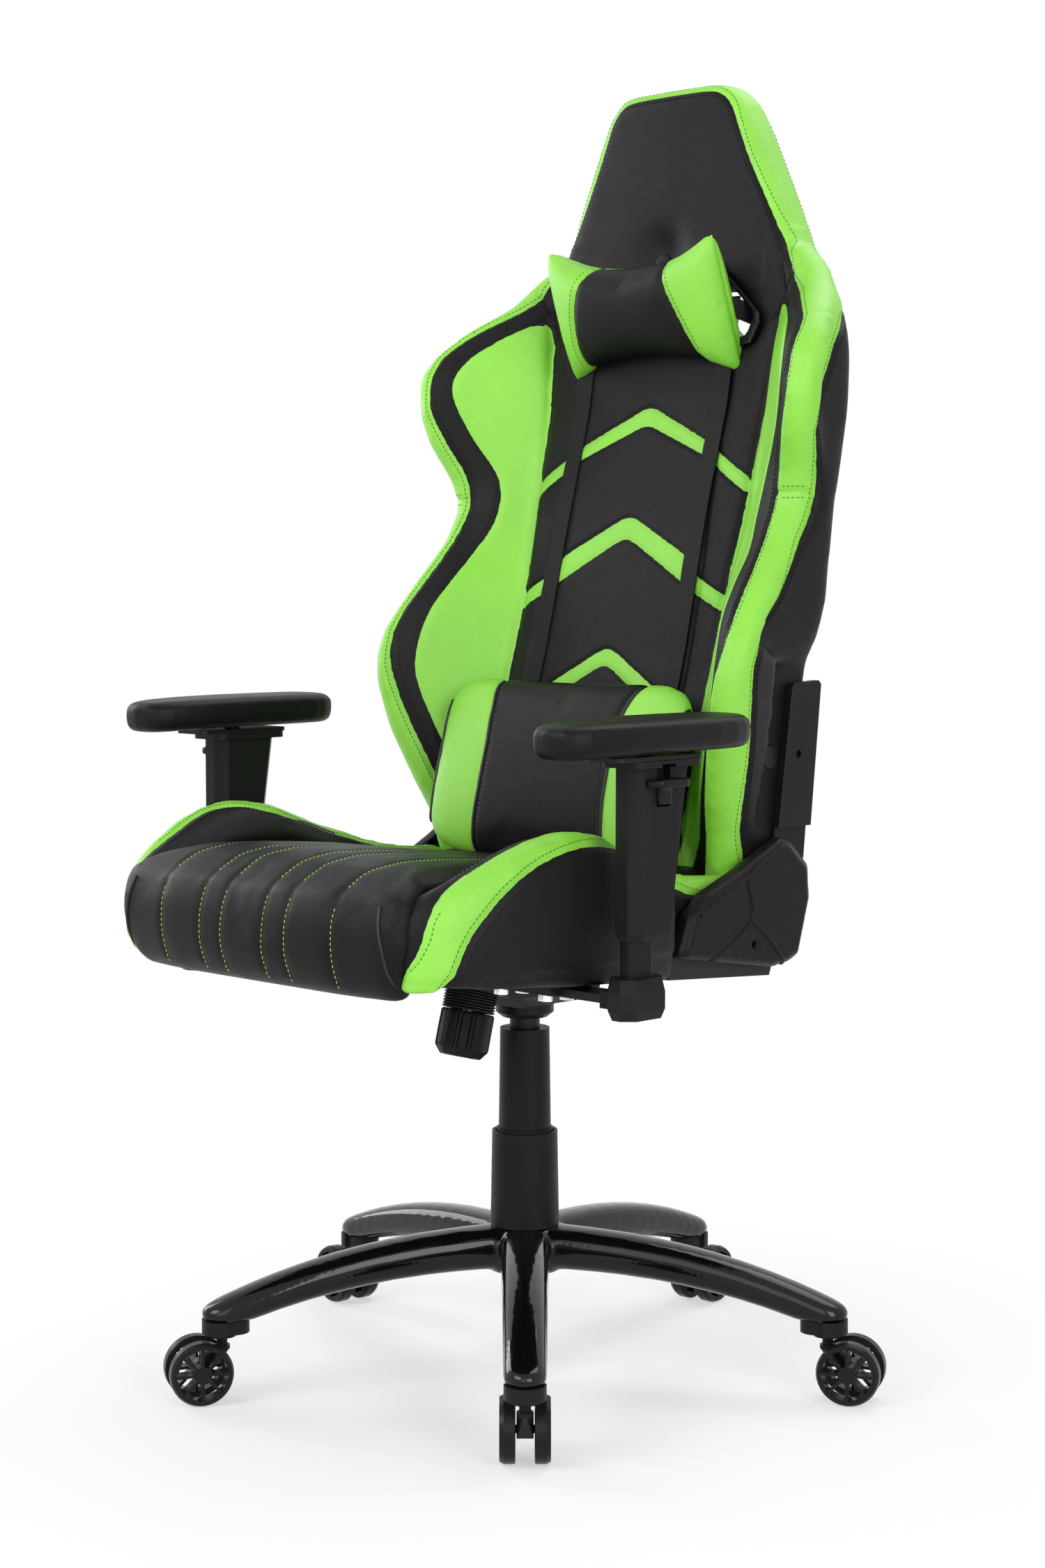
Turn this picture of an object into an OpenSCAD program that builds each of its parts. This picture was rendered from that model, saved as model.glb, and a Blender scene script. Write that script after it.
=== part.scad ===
// Racing-style office chair. The origin is on the floor under the gas column,
// +Z is up, the chair faces -Y and +X is the sitter's left. Millimetres.

/* [Base] */
// Distance from the column axis to each caster stem
base_r = 320; // [290:5:350]
// Height of the top of the hub
hub_top_z = 156; // [150:1:170]
// Diameter of the hub that grips the gas tube
hub_d = 72; // [66:1:80]
// Depth of a leg where it joins the hub
leg_hub_depth = 45; // [40:1:50]
// Depth of a leg at its tip
leg_tip_depth = 31; // [29:1:34]
// Width of a leg where it joins the hub
leg_hub_w = 50; // [44:1:54]
// Width of a leg at its tip
leg_tip_w = 40; // [36:1:44]
// Fall of a leg's top from the hub to its tip
leg_fall = 62; // [58:1:66]

/* [Casters] */
// Wheel diameter
wheel_d = 64; // [60:1:66]
// Width of one wheel
wheel_w = 15; // [13:1:17]
// Gap between the two wheels of a caster
wheel_gap = 18; // [17:1:20]
// Horizontal distance from the stem to the axle
caster_trail = 24; // [18:1:26]
// Diameter of the caster stem
stem_d = 11; // [10:0.5:12]
// Diameter of the wheel axle
axle_d = 8; // [6:0.5:9]

/* [Column] */
// Outer diameter of the gas tube
gas_tube_d = 45; // [42:1:46]
// Diameter of the piston rod
piston_d = 31; // [28:1:32]
// Height of the top of the gas tube
gas_tube_top_z = 262; // [240:1:270]
// Height of the split between the two telescopic covers
cover_split_z = 254; // [245:1:260]
// Height of the top of the upper cover
cover_top_z = 361; // [350:1:366]
// Bottom diameter of the lower cover
lower_cover_d = 71; // [70:0.5:76]
// Bottom diameter of the upper cover
upper_cover_d = 54; // [53:0.5:56]
// Wall of both covers
cover_wall = 2.5; // [2:0.1:2.8]

/* [Mechanism] */
// Height of the underside of the tilt housing's boss
housing_z = 373; // [368:1:376]
// Diameter of the tilt housing's boss
housing_boss_d = 60; // [54:1:66]
// Width of the tilt housing
housing_w = 92; // [80:1:96]
// Height of the tilt pivot
tilt_z = 414; // [412:1:416]
// Distance of the tilt pivot behind the column axis
tilt_y = 25; // [18:1:32]
// Diameter of the tilt pin
tilt_pin_d = 10; // [8:0.5:12]
// Lean of the tension bolt, its lower end forward
bolt_lean = 15; // [10:1:18]
// Diameter of the tension knob
knob_d = 57; // [50:1:60]
// Length of the tension knob
knob_len = 48; // [40:1:52]
// Diameter of the tension bolt
bolt_d = 10; // [8:0.5:12]
// Reach of the height lever from the column axis, along each of X and Y
lever_reach = 246; // [230:1:256]
// Diameter of the height lever's rod
lever_d = 8; // [6:0.5:9]

/* [Seat] */
// Backward rake of the seat, in degrees
seat_rake = 4; // [2:0.5:5]
// Height of the seat pan's underside above the column axis
seat_z = 442; // [440:1:446]
// Half of the seat's greatest width, at the side bolsters
seat_half_w = 258; // [252:1:260]
// Half of the seat frame's width, which carries the recliners
frame_half_w = 218; // [214:1:222]
// Half of the width of the centre cushion
cushion_half_w = 190; // [175:1:200]
// Distance of the seat's nose in front of the column axis
seat_nose = 376; // [370:1:380]
// Distance of the cushions' back end behind the column axis
seat_back = 126; // [116:1:128]
// Highest point of a side bolster
bolster_top_z = 592; // [575:1:600]
// Thickness of the seat pan and of the plate below it
pan_t = 5; // [4:0.5:6]

/* [Armrests] */
// Distance of each armrest post from the middle of the chair
arm_x = 297; // [296:1:305]
// Distance of the armrest post in front of the column axis
arm_y = 153.5; // [140:0.5:165]
// Width of an armrest post, across the chair
post_w = 16; // [14:1:18]
// Depth of an armrest post
post_depth = 32; // [28:1:34]
// Width of the sleeve and of the foot, across the chair
sleeve_w = 36; // [34:1:38]
// Height of the sleeve's lower end
sleeve_z = 495; // [490:1:500]
// Height of the sleeve's upper end
sleeve_top_z = 655; // [640:1:660]
// Height of the top of the armrest pad
pad_top_z = 699; // [690:1:705]
// Length of the armrest pad
pad_len = 252; // [230:2:260]
// Width of the armrest pad
pad_w = 86; // [76:1:92]

/* [Backrest] */
// Height of the recline pivot
pivot_z = 498; // [494:1:502]
// Distance of the recline pivot behind the column axis
pivot_y = 138; // [136:1:144]
// Diameter of the recline shaft
shaft_d = 12; // [10:0.5:14]
// Thickness of the recliner and bracket plates
plate_t = 4; // [3:0.5:5]
// Height of the backrest's lower edge
back_z = 545; // [543:1:550]
// Height of the top of the headrest
back_top_z = 1336; // [1330:1:1350]
// Thickness of the backrest at its middle
back_t = 76; // [68:1:84]
// Diameter of the backrest frame's tubes
frame_tube_d = 22; // [18:1:24]
// Width of the webbing straps
strap_w = 18; // [14:1:22]
// Half of the length of the neck pillow
pillow_half_w = 125; // [100:1:130]
// Half of the length of the lumbar cushion
lumbar_half_w = 176; // [150:1:178]
// Height of the lumbar cushion, along the backrest
lumbar_h = 192; // [170:1:196]
// Thickness of the lumbar cushion
lumbar_t = 60; // [50:1:64]

/* [Fits] */
// Radial clearance of a running shaft or pin
run_fit = 0.05; // [0.02:0.01:0.09]
// Clearance between two parts that slide or sit beside each other
slide_gap = 0.3; // [0.2:0.05:0.5]

/* [Hidden] */
$fn = 64;

LEATHER_BLACK = "#26262a";
LEATHER_GREEN = "#7ae03c";
PLASTIC = "#2e2f31";
STEEL_BLACK = "#1b1b1d";
ZINC = "#c4c8cc";

// The first leg points at the front left corner of the chair.
leg_count = 5;
first_leg = -45;
function leg_turn(k) = first_leg + k * 360 / leg_count;
// The first caster trails inward and the others outward.
function caster_turn(k) = leg_turn(k) + (k == 0 ? 180 : 0);
leg_curve = 2.4;
leg_len = base_r + leg_tip_w / 2;
hub_wall = (hub_d - gas_tube_d) / 2;
socket_z = wheel_d + 4;
socket_flange_h = 14;
socket_boss_d = stem_d + 11;
socket_boss_top_z = socket_z + 22;
socket_inner = 28;
axle_z = wheel_d / 2;
boss_w = wheel_gap + 2;

// Side of the chair: 1 is the sitter's left, -1 the sitter's right.
module on_side(side) {
    if (side > 0) children();
    else mirror([1, 0, 0]) children();
}

// Seat parts lie in a plane raked back about the underside of the pan.
module raked() {
    translate([0, 0, seat_z]) rotate([-seat_rake, 0, 0]) children();
}
function rake_z(y, up = 0) = seat_z - tan(seat_rake) * y + up / cos(seat_rake);

module rounded_rect(w, h, r) {
    square([w - 2 * r, h], center = true);
    square([w, h - 2 * r], center = true);
    for (sx = [-1, 1], sy = [-1, 1])
        translate([sx * (w / 2 - r), sy * (h / 2 - r)]) circle(r);
}

// A closed solid through rings of equal point counts. Seen from the last ring, each turns anticlockwise.
module loft(rings) {
    n = len(rings[0]);
    m = len(rings);
    points = [for (ring = rings) each ring];
    sides = [
        for (i = [0 : m - 2], j = [0 : n - 1])
            let (a = i * n + j, b = i * n + (j + 1) % n, c = a + n, d = b + n)
                each [[a, d, b], [a, c, d]]
    ];
    first = [for (j = [1 : n - 2]) [0, j, j + 1]];
    last = [for (j = [1 : n - 2]) [(m - 1) * n, (m - 1) * n + j + 1, (m - 1) * n + j]];
    polyhedron(points, concat(first, sides, last));
}

function mix(a, b, t) = a + (b - a) * t;
// Superellipse value, with the sign of the angle's sine or cosine.
function super(v, p) = sign(v) * pow(abs(v), 2 / p);

// ---------------------------------------------------------------- base

function leg_top(r) = hub_top_z - leg_fall * pow(r / leg_len, leg_curve);
function leg_depth(r) = mix(leg_hub_depth, leg_tip_depth, r / leg_len);
// The half width narrows evenly and then rounds off past the caster stem.
function leg_half_w(r) = r <= base_r
    ? mix(leg_hub_w, leg_tip_w, r / base_r) / 2
    : sqrt(max(1, pow(leg_tip_w / 2, 2) - pow(r - base_r, 2)));

module leg() {
    stations = [20, 50, 80, 110, 140, 170, 200, 230, 260, 285, 305, 320, 330, 336, 339.5];
    section_points = 16;
    squareness = 2.7;
    loft([
        for (s = stations)
            let (r = s * leg_len / 340, d = leg_depth(r) / 2, mid = leg_top(r) - d)
                [
                    for (j = [0 : section_points - 1])
                        let (a = j * 360 / section_points)
                            [r, leg_half_w(r) * super(cos(a), squareness), mid + d * super(sin(a), squareness)]
                ]
    ]);
}

// Plan of the plug in a leg's end, grown by a clearance.
module socket_plan(grow = 0) {
    neck_w = leg_tip_w - 8;
    intersection() {
        translate([base_r, 0]) circle(leg_tip_w / 2 + grow);
        translate([base_r - 2 - grow, -leg_tip_w]) square([leg_tip_w, 2 * leg_tip_w]);
    }
    translate([base_r - socket_inner + neck_w / 2, 0]) circle(neck_w / 2 + grow);
    translate([base_r - socket_inner + neck_w / 2, -neck_w / 2 - grow])
        square([socket_inner - neck_w / 2, neck_w + 2 * grow]);
}

module star_base() {
    hub_bottom_z = hub_top_z - leg_hub_depth - 3;
    color(STEEL_BLACK)
        difference() {
            union() {
                for (k = [0 : leg_count - 1]) rotate([0, 0, leg_turn(k)]) leg();
                translate([0, 0, hub_bottom_z]) cylinder(d = hub_d, h = hub_top_z - hub_bottom_z);
            }
            translate([0, 0, hub_bottom_z - 1])
                cylinder(d = gas_tube_d + 2 * run_fit, h = hub_top_z - hub_bottom_z + 20);
            translate([0, 0, hub_top_z]) cylinder(d = lower_cover_d + 4, h = 20);
            for (k = [0 : leg_count - 1]) rotate([0, 0, leg_turn(k)]) {
                translate([0, 0, socket_z - 20])
                    linear_extrude(socket_flange_h + 20 + slide_gap) socket_plan(slide_gap);
                translate([base_r, 0, socket_z])
                    cylinder(d = socket_boss_d + 2 * slide_gap, h = socket_boss_top_z - socket_z + slide_gap);
            }
        }
}

module caster_sockets() {
    color(PLASTIC)
        for (k = [0 : leg_count - 1]) rotate([0, 0, leg_turn(k)])
            difference() {
                union() {
                    translate([0, 0, socket_z]) linear_extrude(socket_flange_h) socket_plan();
                    translate([base_r, 0, socket_z]) cylinder(d = socket_boss_d, h = socket_boss_top_z - socket_z);
                }
                translate([base_r, 0, socket_z - 1])
                    cylinder(d = stem_d + 2 * run_fit, h = socket_boss_top_z - socket_z - 1);
            }
}

// ---------------------------------------------------------------- casters

// Moves a caster's own frame, with +X along its trail, to leg k.
module at_caster(k) {
    rotate([0, 0, leg_turn(k)]) translate([base_r, 0, 0]) rotate([0, 0, caster_turn(k) - leg_turn(k)]) children();
}

module caster_housing(k) {
    stem_top_z = socket_boss_top_z - 3;
    boss_z = socket_z - 16;
    axle_reach = wheel_gap / 2 + wheel_w - 3;
    cheek_w = wheel_gap - 2;
    cheek_r = axle_d / 2 + 5;
    color(PLASTIC)
        at_caster(k) {
            translate([0, 0, boss_z]) cylinder(d = stem_d, h = stem_top_z - boss_z);
            translate([0, 0, wheel_d + 1]) cylinder(d = boss_w, h = socket_z - slide_gap - wheel_d - 1);
            translate([0, 0, socket_z - 3]) cylinder(d = boss_w + 9, h = 3 - slide_gap);
            hull() {
                translate([0, 0, boss_z]) cylinder(d = cheek_w, h = 4, $fn = 32);
                translate([caster_trail, 0, axle_z])
                    rotate([90, 0, 0]) cylinder(r = cheek_r, h = cheek_w, center = true, $fn = 32);
            }
            translate([caster_trail, 0, axle_z])
                rotate([90, 0, 0]) cylinder(d = axle_d, h = 2 * axle_reach, center = true);
        }
}

// One wheel of the caster on leg k. Side is 1 or -1 along the axle.
module caster_wheel(k, side) {
    spoke_count = 8;
    spoke_half = 2;
    hub_r = axle_d / 2 + 4;
    rim_r = wheel_d / 2 - 7;
    edge = 2;
    r = wheel_d / 2;
    color(PLASTIC)
        at_caster(k) translate([caster_trail, side * wheel_gap / 2, axle_z]) rotate([-90 * side, 0, 0])
            difference() {
                rotate_extrude()
                    polygon([[0, 0], [r - edge / 2, 0], [r, edge / 2], [r, wheel_w - 2 * edge],
                             [r - edge, wheel_w], [0, wheel_w]]);
                translate([0, 0, -1]) cylinder(d = axle_d + 2 * run_fit, h = wheel_w - 2 + 1);
                for (i = [0 : spoke_count - 1]) rotate([0, 0, (i + 0.5) * 360 / spoke_count])
                    translate([0, 0, -1]) linear_extrude(wheel_w + 2)
                        polygon([
                            [hub_r + 1, -hub_r * tan(180 / spoke_count) + spoke_half / 2],
                            [rim_r, -rim_r * tan(180 / spoke_count) + spoke_half],
                            [rim_r, rim_r * tan(180 / spoke_count) - spoke_half],
                            [hub_r + 1, hub_r * tan(180 / spoke_count) - spoke_half / 2]
                        ]);
            }
}

// ---------------------------------------------------------------- column

tube_floor_z = hub_top_z - leg_hub_depth - 5;
lift_travel = 80;
piston_foot_z = tube_floor_z + lift_travel + 10;
piston_top_z = housing_z + 20;

module gas_tube() {
    color(STEEL_BLACK)
        difference() {
            translate([0, 0, tube_floor_z - 4]) cylinder(d = gas_tube_d, h = gas_tube_top_z - tube_floor_z + 4);
            translate([0, 0, tube_floor_z]) cylinder(d = piston_d + 2 * run_fit, h = gas_tube_top_z);
        }
}

module gas_piston() {
    color(STEEL_BLACK)
        translate([0, 0, piston_foot_z]) cylinder(d = piston_d, h = piston_top_z - piston_foot_z);
}

// A tapered tube with an outer lip at its foot and an inner ring at its top.
module taper_tube(foot_r, top_r, h, wall, lip, lip_h, ring) {
    rotate_extrude()
        polygon([
            [foot_r - wall, 0], [foot_r + lip, 0], [foot_r + lip, lip_h], [foot_r, lip_h], [top_r, h],
            [top_r - wall - ring, h], [top_r - wall - ring, h - wall], [top_r - wall, h - wall]
        ]);
}

module column_cover_lower() {
    rise = cover_split_z - hub_top_z;
    top_r = lower_cover_d / 2 - 1.7;
    color(PLASTIC)
        translate([0, 0, hub_top_z]) taper_tube(lower_cover_d / 2, top_r, rise, cover_wall, 0, 1, 0.6);
}

module column_cover_upper() {
    foot_z = cover_split_z - 3;
    foot_r = upper_cover_d / 2;
    top_r = foot_r - 1.5;
    lip = 2.2;
    color(PLASTIC)
        translate([0, 0, foot_z])
            taper_tube(foot_r, top_r, cover_top_z - foot_z, cover_wall, lip, 6,
                       top_r - cover_wall - piston_d / 2 - run_fit);
}

// ---------------------------------------------------------------- mechanism

housing_top_z = tilt_z + 10;
bolt_y = -76;
bolt_z = housing_z + 34;
knob_top = 20.5;
lever_root = 52;
lever_root_z = housing_z + 33;
lever_rise = 18;
lever_eye_w = 9;
lever_pin_d = 6;

// Moves a frame whose +Z runs up the tension bolt to where the bolt enters the housing.
module along_bolt() {
    translate([0, bolt_y, bolt_z]) rotate([-bolt_lean, 0, 0]) children();
}

// Moves a frame with +X along the height lever's rod and +Y along its hinge pin.
module at_lever() {
    translate([-lever_root, -lever_root + 8, lever_root_z]) rotate([0, 0, -135]) children();
}

module tilt_housing() {
    boss_h = 16;
    nose = bolt_y - knob_d / 2 - 7;
    ear_t = 5;
    color(STEEL_BLACK)
        difference() {
            union() {
                rotate_extrude()
                    polygon([
                        [0, housing_z], [housing_boss_d / 2 - 6, housing_z], [housing_boss_d / 2, housing_z + 5],
                        [housing_boss_d / 2, housing_z + boss_h], [0, housing_z + boss_h]
                    ]);
                intersection() {
                    rotate([90, 0, 90]) linear_extrude(housing_w, center = true)
                        polygon([
                            [nose, housing_top_z], [nose, bolt_z + 10], [bolt_y + 32, bolt_z - 9],
                            [-38, housing_z + boss_h - 1], [52, housing_z + boss_h - 1], [64, housing_z + 26],
                            [64, housing_top_z - 14], [tilt_y + 12, housing_top_z]
                        ]);
                    rotate([90, 0, 0]) linear_extrude(300, center = true)
                        polygon([
                            [-housing_w / 2, housing_top_z], [-housing_w / 2, housing_z + 28],
                            [-housing_w / 2 + 14, housing_z + boss_h - 2], [housing_w / 2 - 14, housing_z + boss_h - 2],
                            [housing_w / 2, housing_z + 28], [housing_w / 2, housing_top_z]
                        ]);
                }
                at_lever()
                    for (s = [-1, 1]) translate([0, s * (lever_eye_w / 2 + slide_gap + ear_t / 2), 0]) {
                        rotate([90, 0, 0]) cylinder(d = 15, h = ear_t, center = true);
                        translate([-15, 0, 0]) cube([30, ear_t, 15], center = true);
                    }
            }
            translate([0, 0, housing_z - 1])
                cylinder(d = piston_d + 2 * run_fit, h = piston_top_z - housing_z + 1 + slide_gap);
            translate([0, tilt_y, tilt_z]) rotate([0, 90, 0])
                cylinder(d = tilt_pin_d + 2 * run_fit, h = housing_w + 2, center = true);
            along_bolt() translate([0, 0, -5]) cylinder(d = bolt_d + 2 * run_fit, h = 17);
            at_lever() {
                rotate([90, 0, 0]) cylinder(d = lever_pin_d + 2 * run_fit, h = 40, center = true);
                translate([0, 0, 0]) rotate([90, 0, 0])
                    cylinder(d = 19, h = lever_eye_w + 2 * slide_gap, center = true);
            }
        }
}

// The coils of the compression spring, joined as one ribbed ring.
module tension_spring() {
    coils = 7;
    coil_r = knob_d / 2 - 1.5;
    wire = 4;
    pitch = (knob_top - slide_gap) / coils;
    color(STEEL_BLACK)
        along_bolt() translate([0, 0, -knob_top + slide_gap / 2])
            rotate_extrude()
                polygon(concat(
                    [[coil_r - wire, 0]],
                    [
                        for (i = [0 : coils - 1])
                            each [[coil_r - wire / 2, i * pitch], [coil_r, (i + 0.3) * pitch], [coil_r, (i + 0.7) * pitch]]
                    ],
                    [[coil_r - wire / 2, coils * pitch - slide_gap], [coil_r - wire, coils * pitch - slide_gap]]
                ));
}

module tension_bolt() {
    color(ZINC)
        along_bolt() translate([0, 0, -knob_top - knob_len + 8]) cylinder(d = bolt_d, h = knob_top + knob_len - 8 + 11);
}

module tension_knob() {
    taper_h = 7;
    flats = 12;
    color(PLASTIC)
        along_bolt() translate([0, 0, -knob_top - knob_len])
            difference() {
                union() {
                    translate([0, 0, taper_h]) cylinder(d = knob_d, h = knob_len - taper_h - slide_gap, $fn = flats);
                    cylinder(d1 = knob_d - 14, d2 = knob_d, h = taper_h, $fn = flats);
                }
                translate([0, 0, 7]) cylinder(d = bolt_d + 2 * run_fit, h = knob_len);
            }
}

module mechanism_pins() {
    color(ZINC) {
        translate([0, tilt_y, tilt_z]) rotate([0, 90, 0])
            cylinder(d = tilt_pin_d, h = housing_w + 18, center = true);
        at_lever() rotate([90, 0, 0]) cylinder(d = lever_pin_d, h = lever_eye_w + 12, center = true);
    }
}

module height_lever() {
    rod_len = (lever_reach - lever_root) * sqrt(2);
    climb = atan(lever_rise / rod_len);
    color(STEEL_BLACK)
        at_lever()
            difference() {
                union() {
                    rotate([90, 0, 0]) cylinder(d = 14, h = lever_eye_w, center = true);
                    rotate([0, 90 - climb, 0]) translate([0, 0, 6]) cylinder(d = lever_d, h = rod_len - 36);
                    rotate([0, -climb, 0]) translate([rod_len - 12, 0, 0])
                        hull()
                            for (s = [-1, 1]) translate([s * 16, 0, 0])
                                scale([1, 1, 0.5]) sphere(d = 19 + s * 2, $fn = 24);
                }
                rotate([90, 0, 0]) cylinder(d = lever_pin_d + 2 * run_fit, h = lever_eye_w + 2, center = true);
            }
}

// ---------------------------------------------------------------- seat

plate_half_w = 80;
plate_front = 110;
plate_back = 105;
bar_depth = 30;
bar_t = 8;
bar_z = 435;
bar_root = 118;
bar_pad_w = 97;
bar_pad_depth = 56;
bolt_hole_d = 8;
plate_bolts = [for (sx = [-1, 1], sy = [-1, 1]) [sx * 66, sy * 85]];
arm_bolts = [for (s = [-1, 1], dx = [19, 78], sy = [-1, 1]) [s * (bar_root + dx), -arm_y + sy * 14.5]];

module seat_plate() {
    ear_x = housing_w / 2 + slide_gap + 1;
    ear_t = 5;
    color(STEEL_BLACK)
        difference() {
            union() {
                raked() translate([-plate_half_w, -plate_front, -pan_t])
                    cube([2 * plate_half_w, plate_front + plate_back, pan_t]);
                intersection() {
                    for (s = [-1, 1]) translate([s * (ear_x + ear_t / 2), tilt_y, 0]) {
                        translate([0, 0, tilt_z]) rotate([0, 90, 0]) cylinder(d = 24, h = ear_t, center = true);
                        translate([-ear_t / 2, -12, tilt_z]) cube([ear_t, 24, seat_z - tilt_z]);
                    }
                    raked() translate([-200, -200, -100]) cube([400, 400, 100 - pan_t / 2]);
                }
            }
            translate([0, tilt_y, tilt_z]) rotate([0, 90, 0])
                cylinder(d = tilt_pin_d + 2 * run_fit, h = 2 * plate_half_w, center = true);
            for (p = plate_bolts)
                raked() translate([p[0], p[1], -pan_t - 1]) cylinder(d = bolt_hole_d + 2 * run_fit, h = pan_t + 2);
        }
}

// A bolt whose head lies at a given depth below the pan's underside.
module seat_bolt(spot, depth) {
    head_d = 14;
    head_h = 7;
    raked() translate([spot[0], spot[1], -depth]) {
        translate([0, 0, -head_h]) cylinder(d = head_d, h = head_h, $fn = 6);
        cylinder(d = bolt_hole_d, h = depth + pan_t - 1);
    }
}

// Depth of an arm bracket's underside below the pan.
bracket_depth = (rake_z(-arm_y) - bar_z) * cos(seat_rake);

module seat_bolts() {
    color(ZINC) {
        for (p = plate_bolts) seat_bolt(p, pan_t);
        for (p = arm_bolts) seat_bolt(p, bracket_depth);
    }
}

// A flat pan with a rail along each side, behind the armrests, that carries the recliners.
module seat_frame() {
    rail_w = 18;
    rail_front = cover_front - 1;
    color(STEEL_BLACK)
        difference() {
            raked() {
                translate([-frame_half_w, pan_front, 0]) cube([2 * frame_half_w, seat_back - pan_front, pan_t]);
                for (s = [-1, 1]) translate([s * (frame_half_w - rail_w / 2) - rail_w / 2, rail_front, -rail_h])
                    cube([rail_w, seat_back - rail_front, rail_h + 1]);
            }
            for (p = concat(plate_bolts, arm_bolts))
                raked() translate([p[0], p[1], -1]) cylinder(d = bolt_hole_d + 2 * run_fit, h = pan_t + 2);
        }
}

pan_front = -seat_nose + 50;
rail_h = 8;
cushion_lift = pan_t + slide_gap;
// Height of the centre cushion's top along its middle.
function cushion_top(y) = lookup(y, [
    [-seat_nose + 10, 537], [-seat_nose + 48, 554], [-seat_nose + 90, 558], [-240, 556], [-180, 551], [-90, 539], [0, 529],
    [seat_back, 519]
]);

module seat_cushion() {
    // The nose hangs over the front edge of the pan: distance behind the front and height
    nose = [[49, 453], [30, 451], [12, 461], [2, 481], [0, 510], [8, 535]];
    tops = [-seat_nose + 48, -seat_nose + 90, -240, -180, -90, 0, seat_back];
    stations = [1, 0.92, 0.55, 0, -0.55, -0.92, -1];
    color(LEATHER_BLACK)
        loft([
            for (t = stations)
                let (x = t * cushion_half_w, bow = 12 * pow(abs(t), 4), sag = 7 * pow(t, 2))
                    concat(
                        [for (y = tops) [x, y, cushion_top(y) - sag]],
                        [[x, seat_back, rake_z(seat_back, cushion_lift)]],
                        [[x, pan_front - slide_gap, rake_z(pan_front, cushion_lift)]],
                        [for (p = nose) [x, -seat_nose + p[0] + (p[0] < 40 ? bow : 0), p[1]]]
                    )
        ]);
}

// A side bolster's crest: [distance from the middle, height]. Distances d run back from the nose.
function bolster_top(y) = let (d = y + seat_nose) [
    lookup(d, [[30, 207], [54, 212], [76, 219], [114, 233], [181, 242], [266, 238], [316, 232], [336, 212], [500, 206]]),
    mix(rake_z(y, cushion_lift), bolster_top_z, lookup(d, [
        [30, 0.34], [33, 0.42], [42, 0.53], [54, 0.61], [76, 0.72], [114, 0.87], [146, 0.96], [181, 1.0], [226, 0.96],
        [266, 0.85], [316, 0.72], [366, 0.61], [500, 0.55]
    ]))
];
// Outer face of a bolster, which steps in behind the recliner cover.
function bolster_side(y) = y > cover_front - 5 ? frame_half_w : lookup(y + seat_nose, [
    [30, 216], [42, 226], [54, 233], [76, 241], [114, 251], [181, seat_half_w], [226, seat_half_w], [276, seat_half_w - 4],
    [330, seat_half_w - 12]
]);

function over_pan(y) = y > pan_front - 0.7;

module seat_bolster(side) {
    ys = concat(
        [seat_back, 50, 0, cover_front - 2, cover_front - 7, cover_front - 8],
        [for (d = [291, 266, 226, 181, 146, 114, 76]) d - seat_nose],
        [pan_front - 0.4, pan_front - 1], [for (d = [42, 33, 30]) d - seat_nose]
    );
    inner = cushion_half_w + slide_gap;
    color(LEATHER_GREEN)
        on_side(side)
            loft([
                for (y = ys)
                    let (
                        // The bolster hangs over the pan's front edge and sides, down to its skirt
                        low = over_pan(y) ? rake_z(y, cushion_lift) : 454,
                        skirt = !over_pan(y) ? low - 1 : y > cover_front - 7.5 ? low + 0.5 : rake_z(y, 2 - rail_h),
                        top = bolster_top(y), h = top[1] - low, outer = bolster_side(y), w = outer - top[0],
                        edge = min(frame_half_w + slide_gap, outer - 5)
                    )
                        [
                            [inner, y, low], [edge, y, low], [edge + 0.5, y, skirt], [outer - 3, y, skirt + 1],
                            [outer, y, low + 0.12 * h], [outer, y, low + 0.62 * h],
                            [outer - 0.12 * w, y, low + 0.86 * h], [outer - 0.45 * w, y, low + 0.97 * h],
                            [top[0], y, top[1]], [mix(inner, top[0], 0.4), y, low + 0.93 * h],
                            [inner, y, low + 0.76 * h]
                        ]
            ]);
}

// ---------------------------------------------------------------- armrests

foot_z = 423;
foot_top_z = 461;
foot_depth = 60;
post_top_z = sleeve_z + 108;
collar_x = seat_half_w + 10;

// A block bolted under the pan, drawn out into a flat bar that the armrest's foot grips.
module arm_brackets() {
    bar_end = arm_x + sleeve_w / 2 - 5;
    color(STEEL_BLACK)
        for (side = [-1, 1]) on_side(side)
            difference() {
                union() {
                    raked() translate([bar_root, -arm_y - bar_pad_depth / 2, -bracket_depth])
                        cube([bar_pad_w, bar_pad_depth, bracket_depth]);
                    translate([bar_root + 1, -arm_y - bar_depth / 2, bar_z]) cube([bar_end - bar_root - 1, bar_depth, bar_t]);
                }
                for (p = arm_bolts) raked() translate([p[0], p[1], -bracket_depth - 20]) {
                    cylinder(d = bolt_hole_d + 2 * run_fit, h = 60);
                    cylinder(d = 18, h = 20);
                }
            }
}

// An octagon of width w and depth d about the post, at height z.
function octagon(w, d, cut, z, shift = 0) = [
    for (c = [[1, -1, 0], [1, 1, 1], [-1, 1, 0], [-1, -1, 1]], e = [0, 1])
        let (x = c[0] * w / 2, y = c[1] * d / 2, first = (e == 0) == (c[2] == 0))
            [arm_x + x - (first ? c[0] * cut : 0), -arm_y + shift + y - (first ? 0 : c[1] * cut), z]
];

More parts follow.
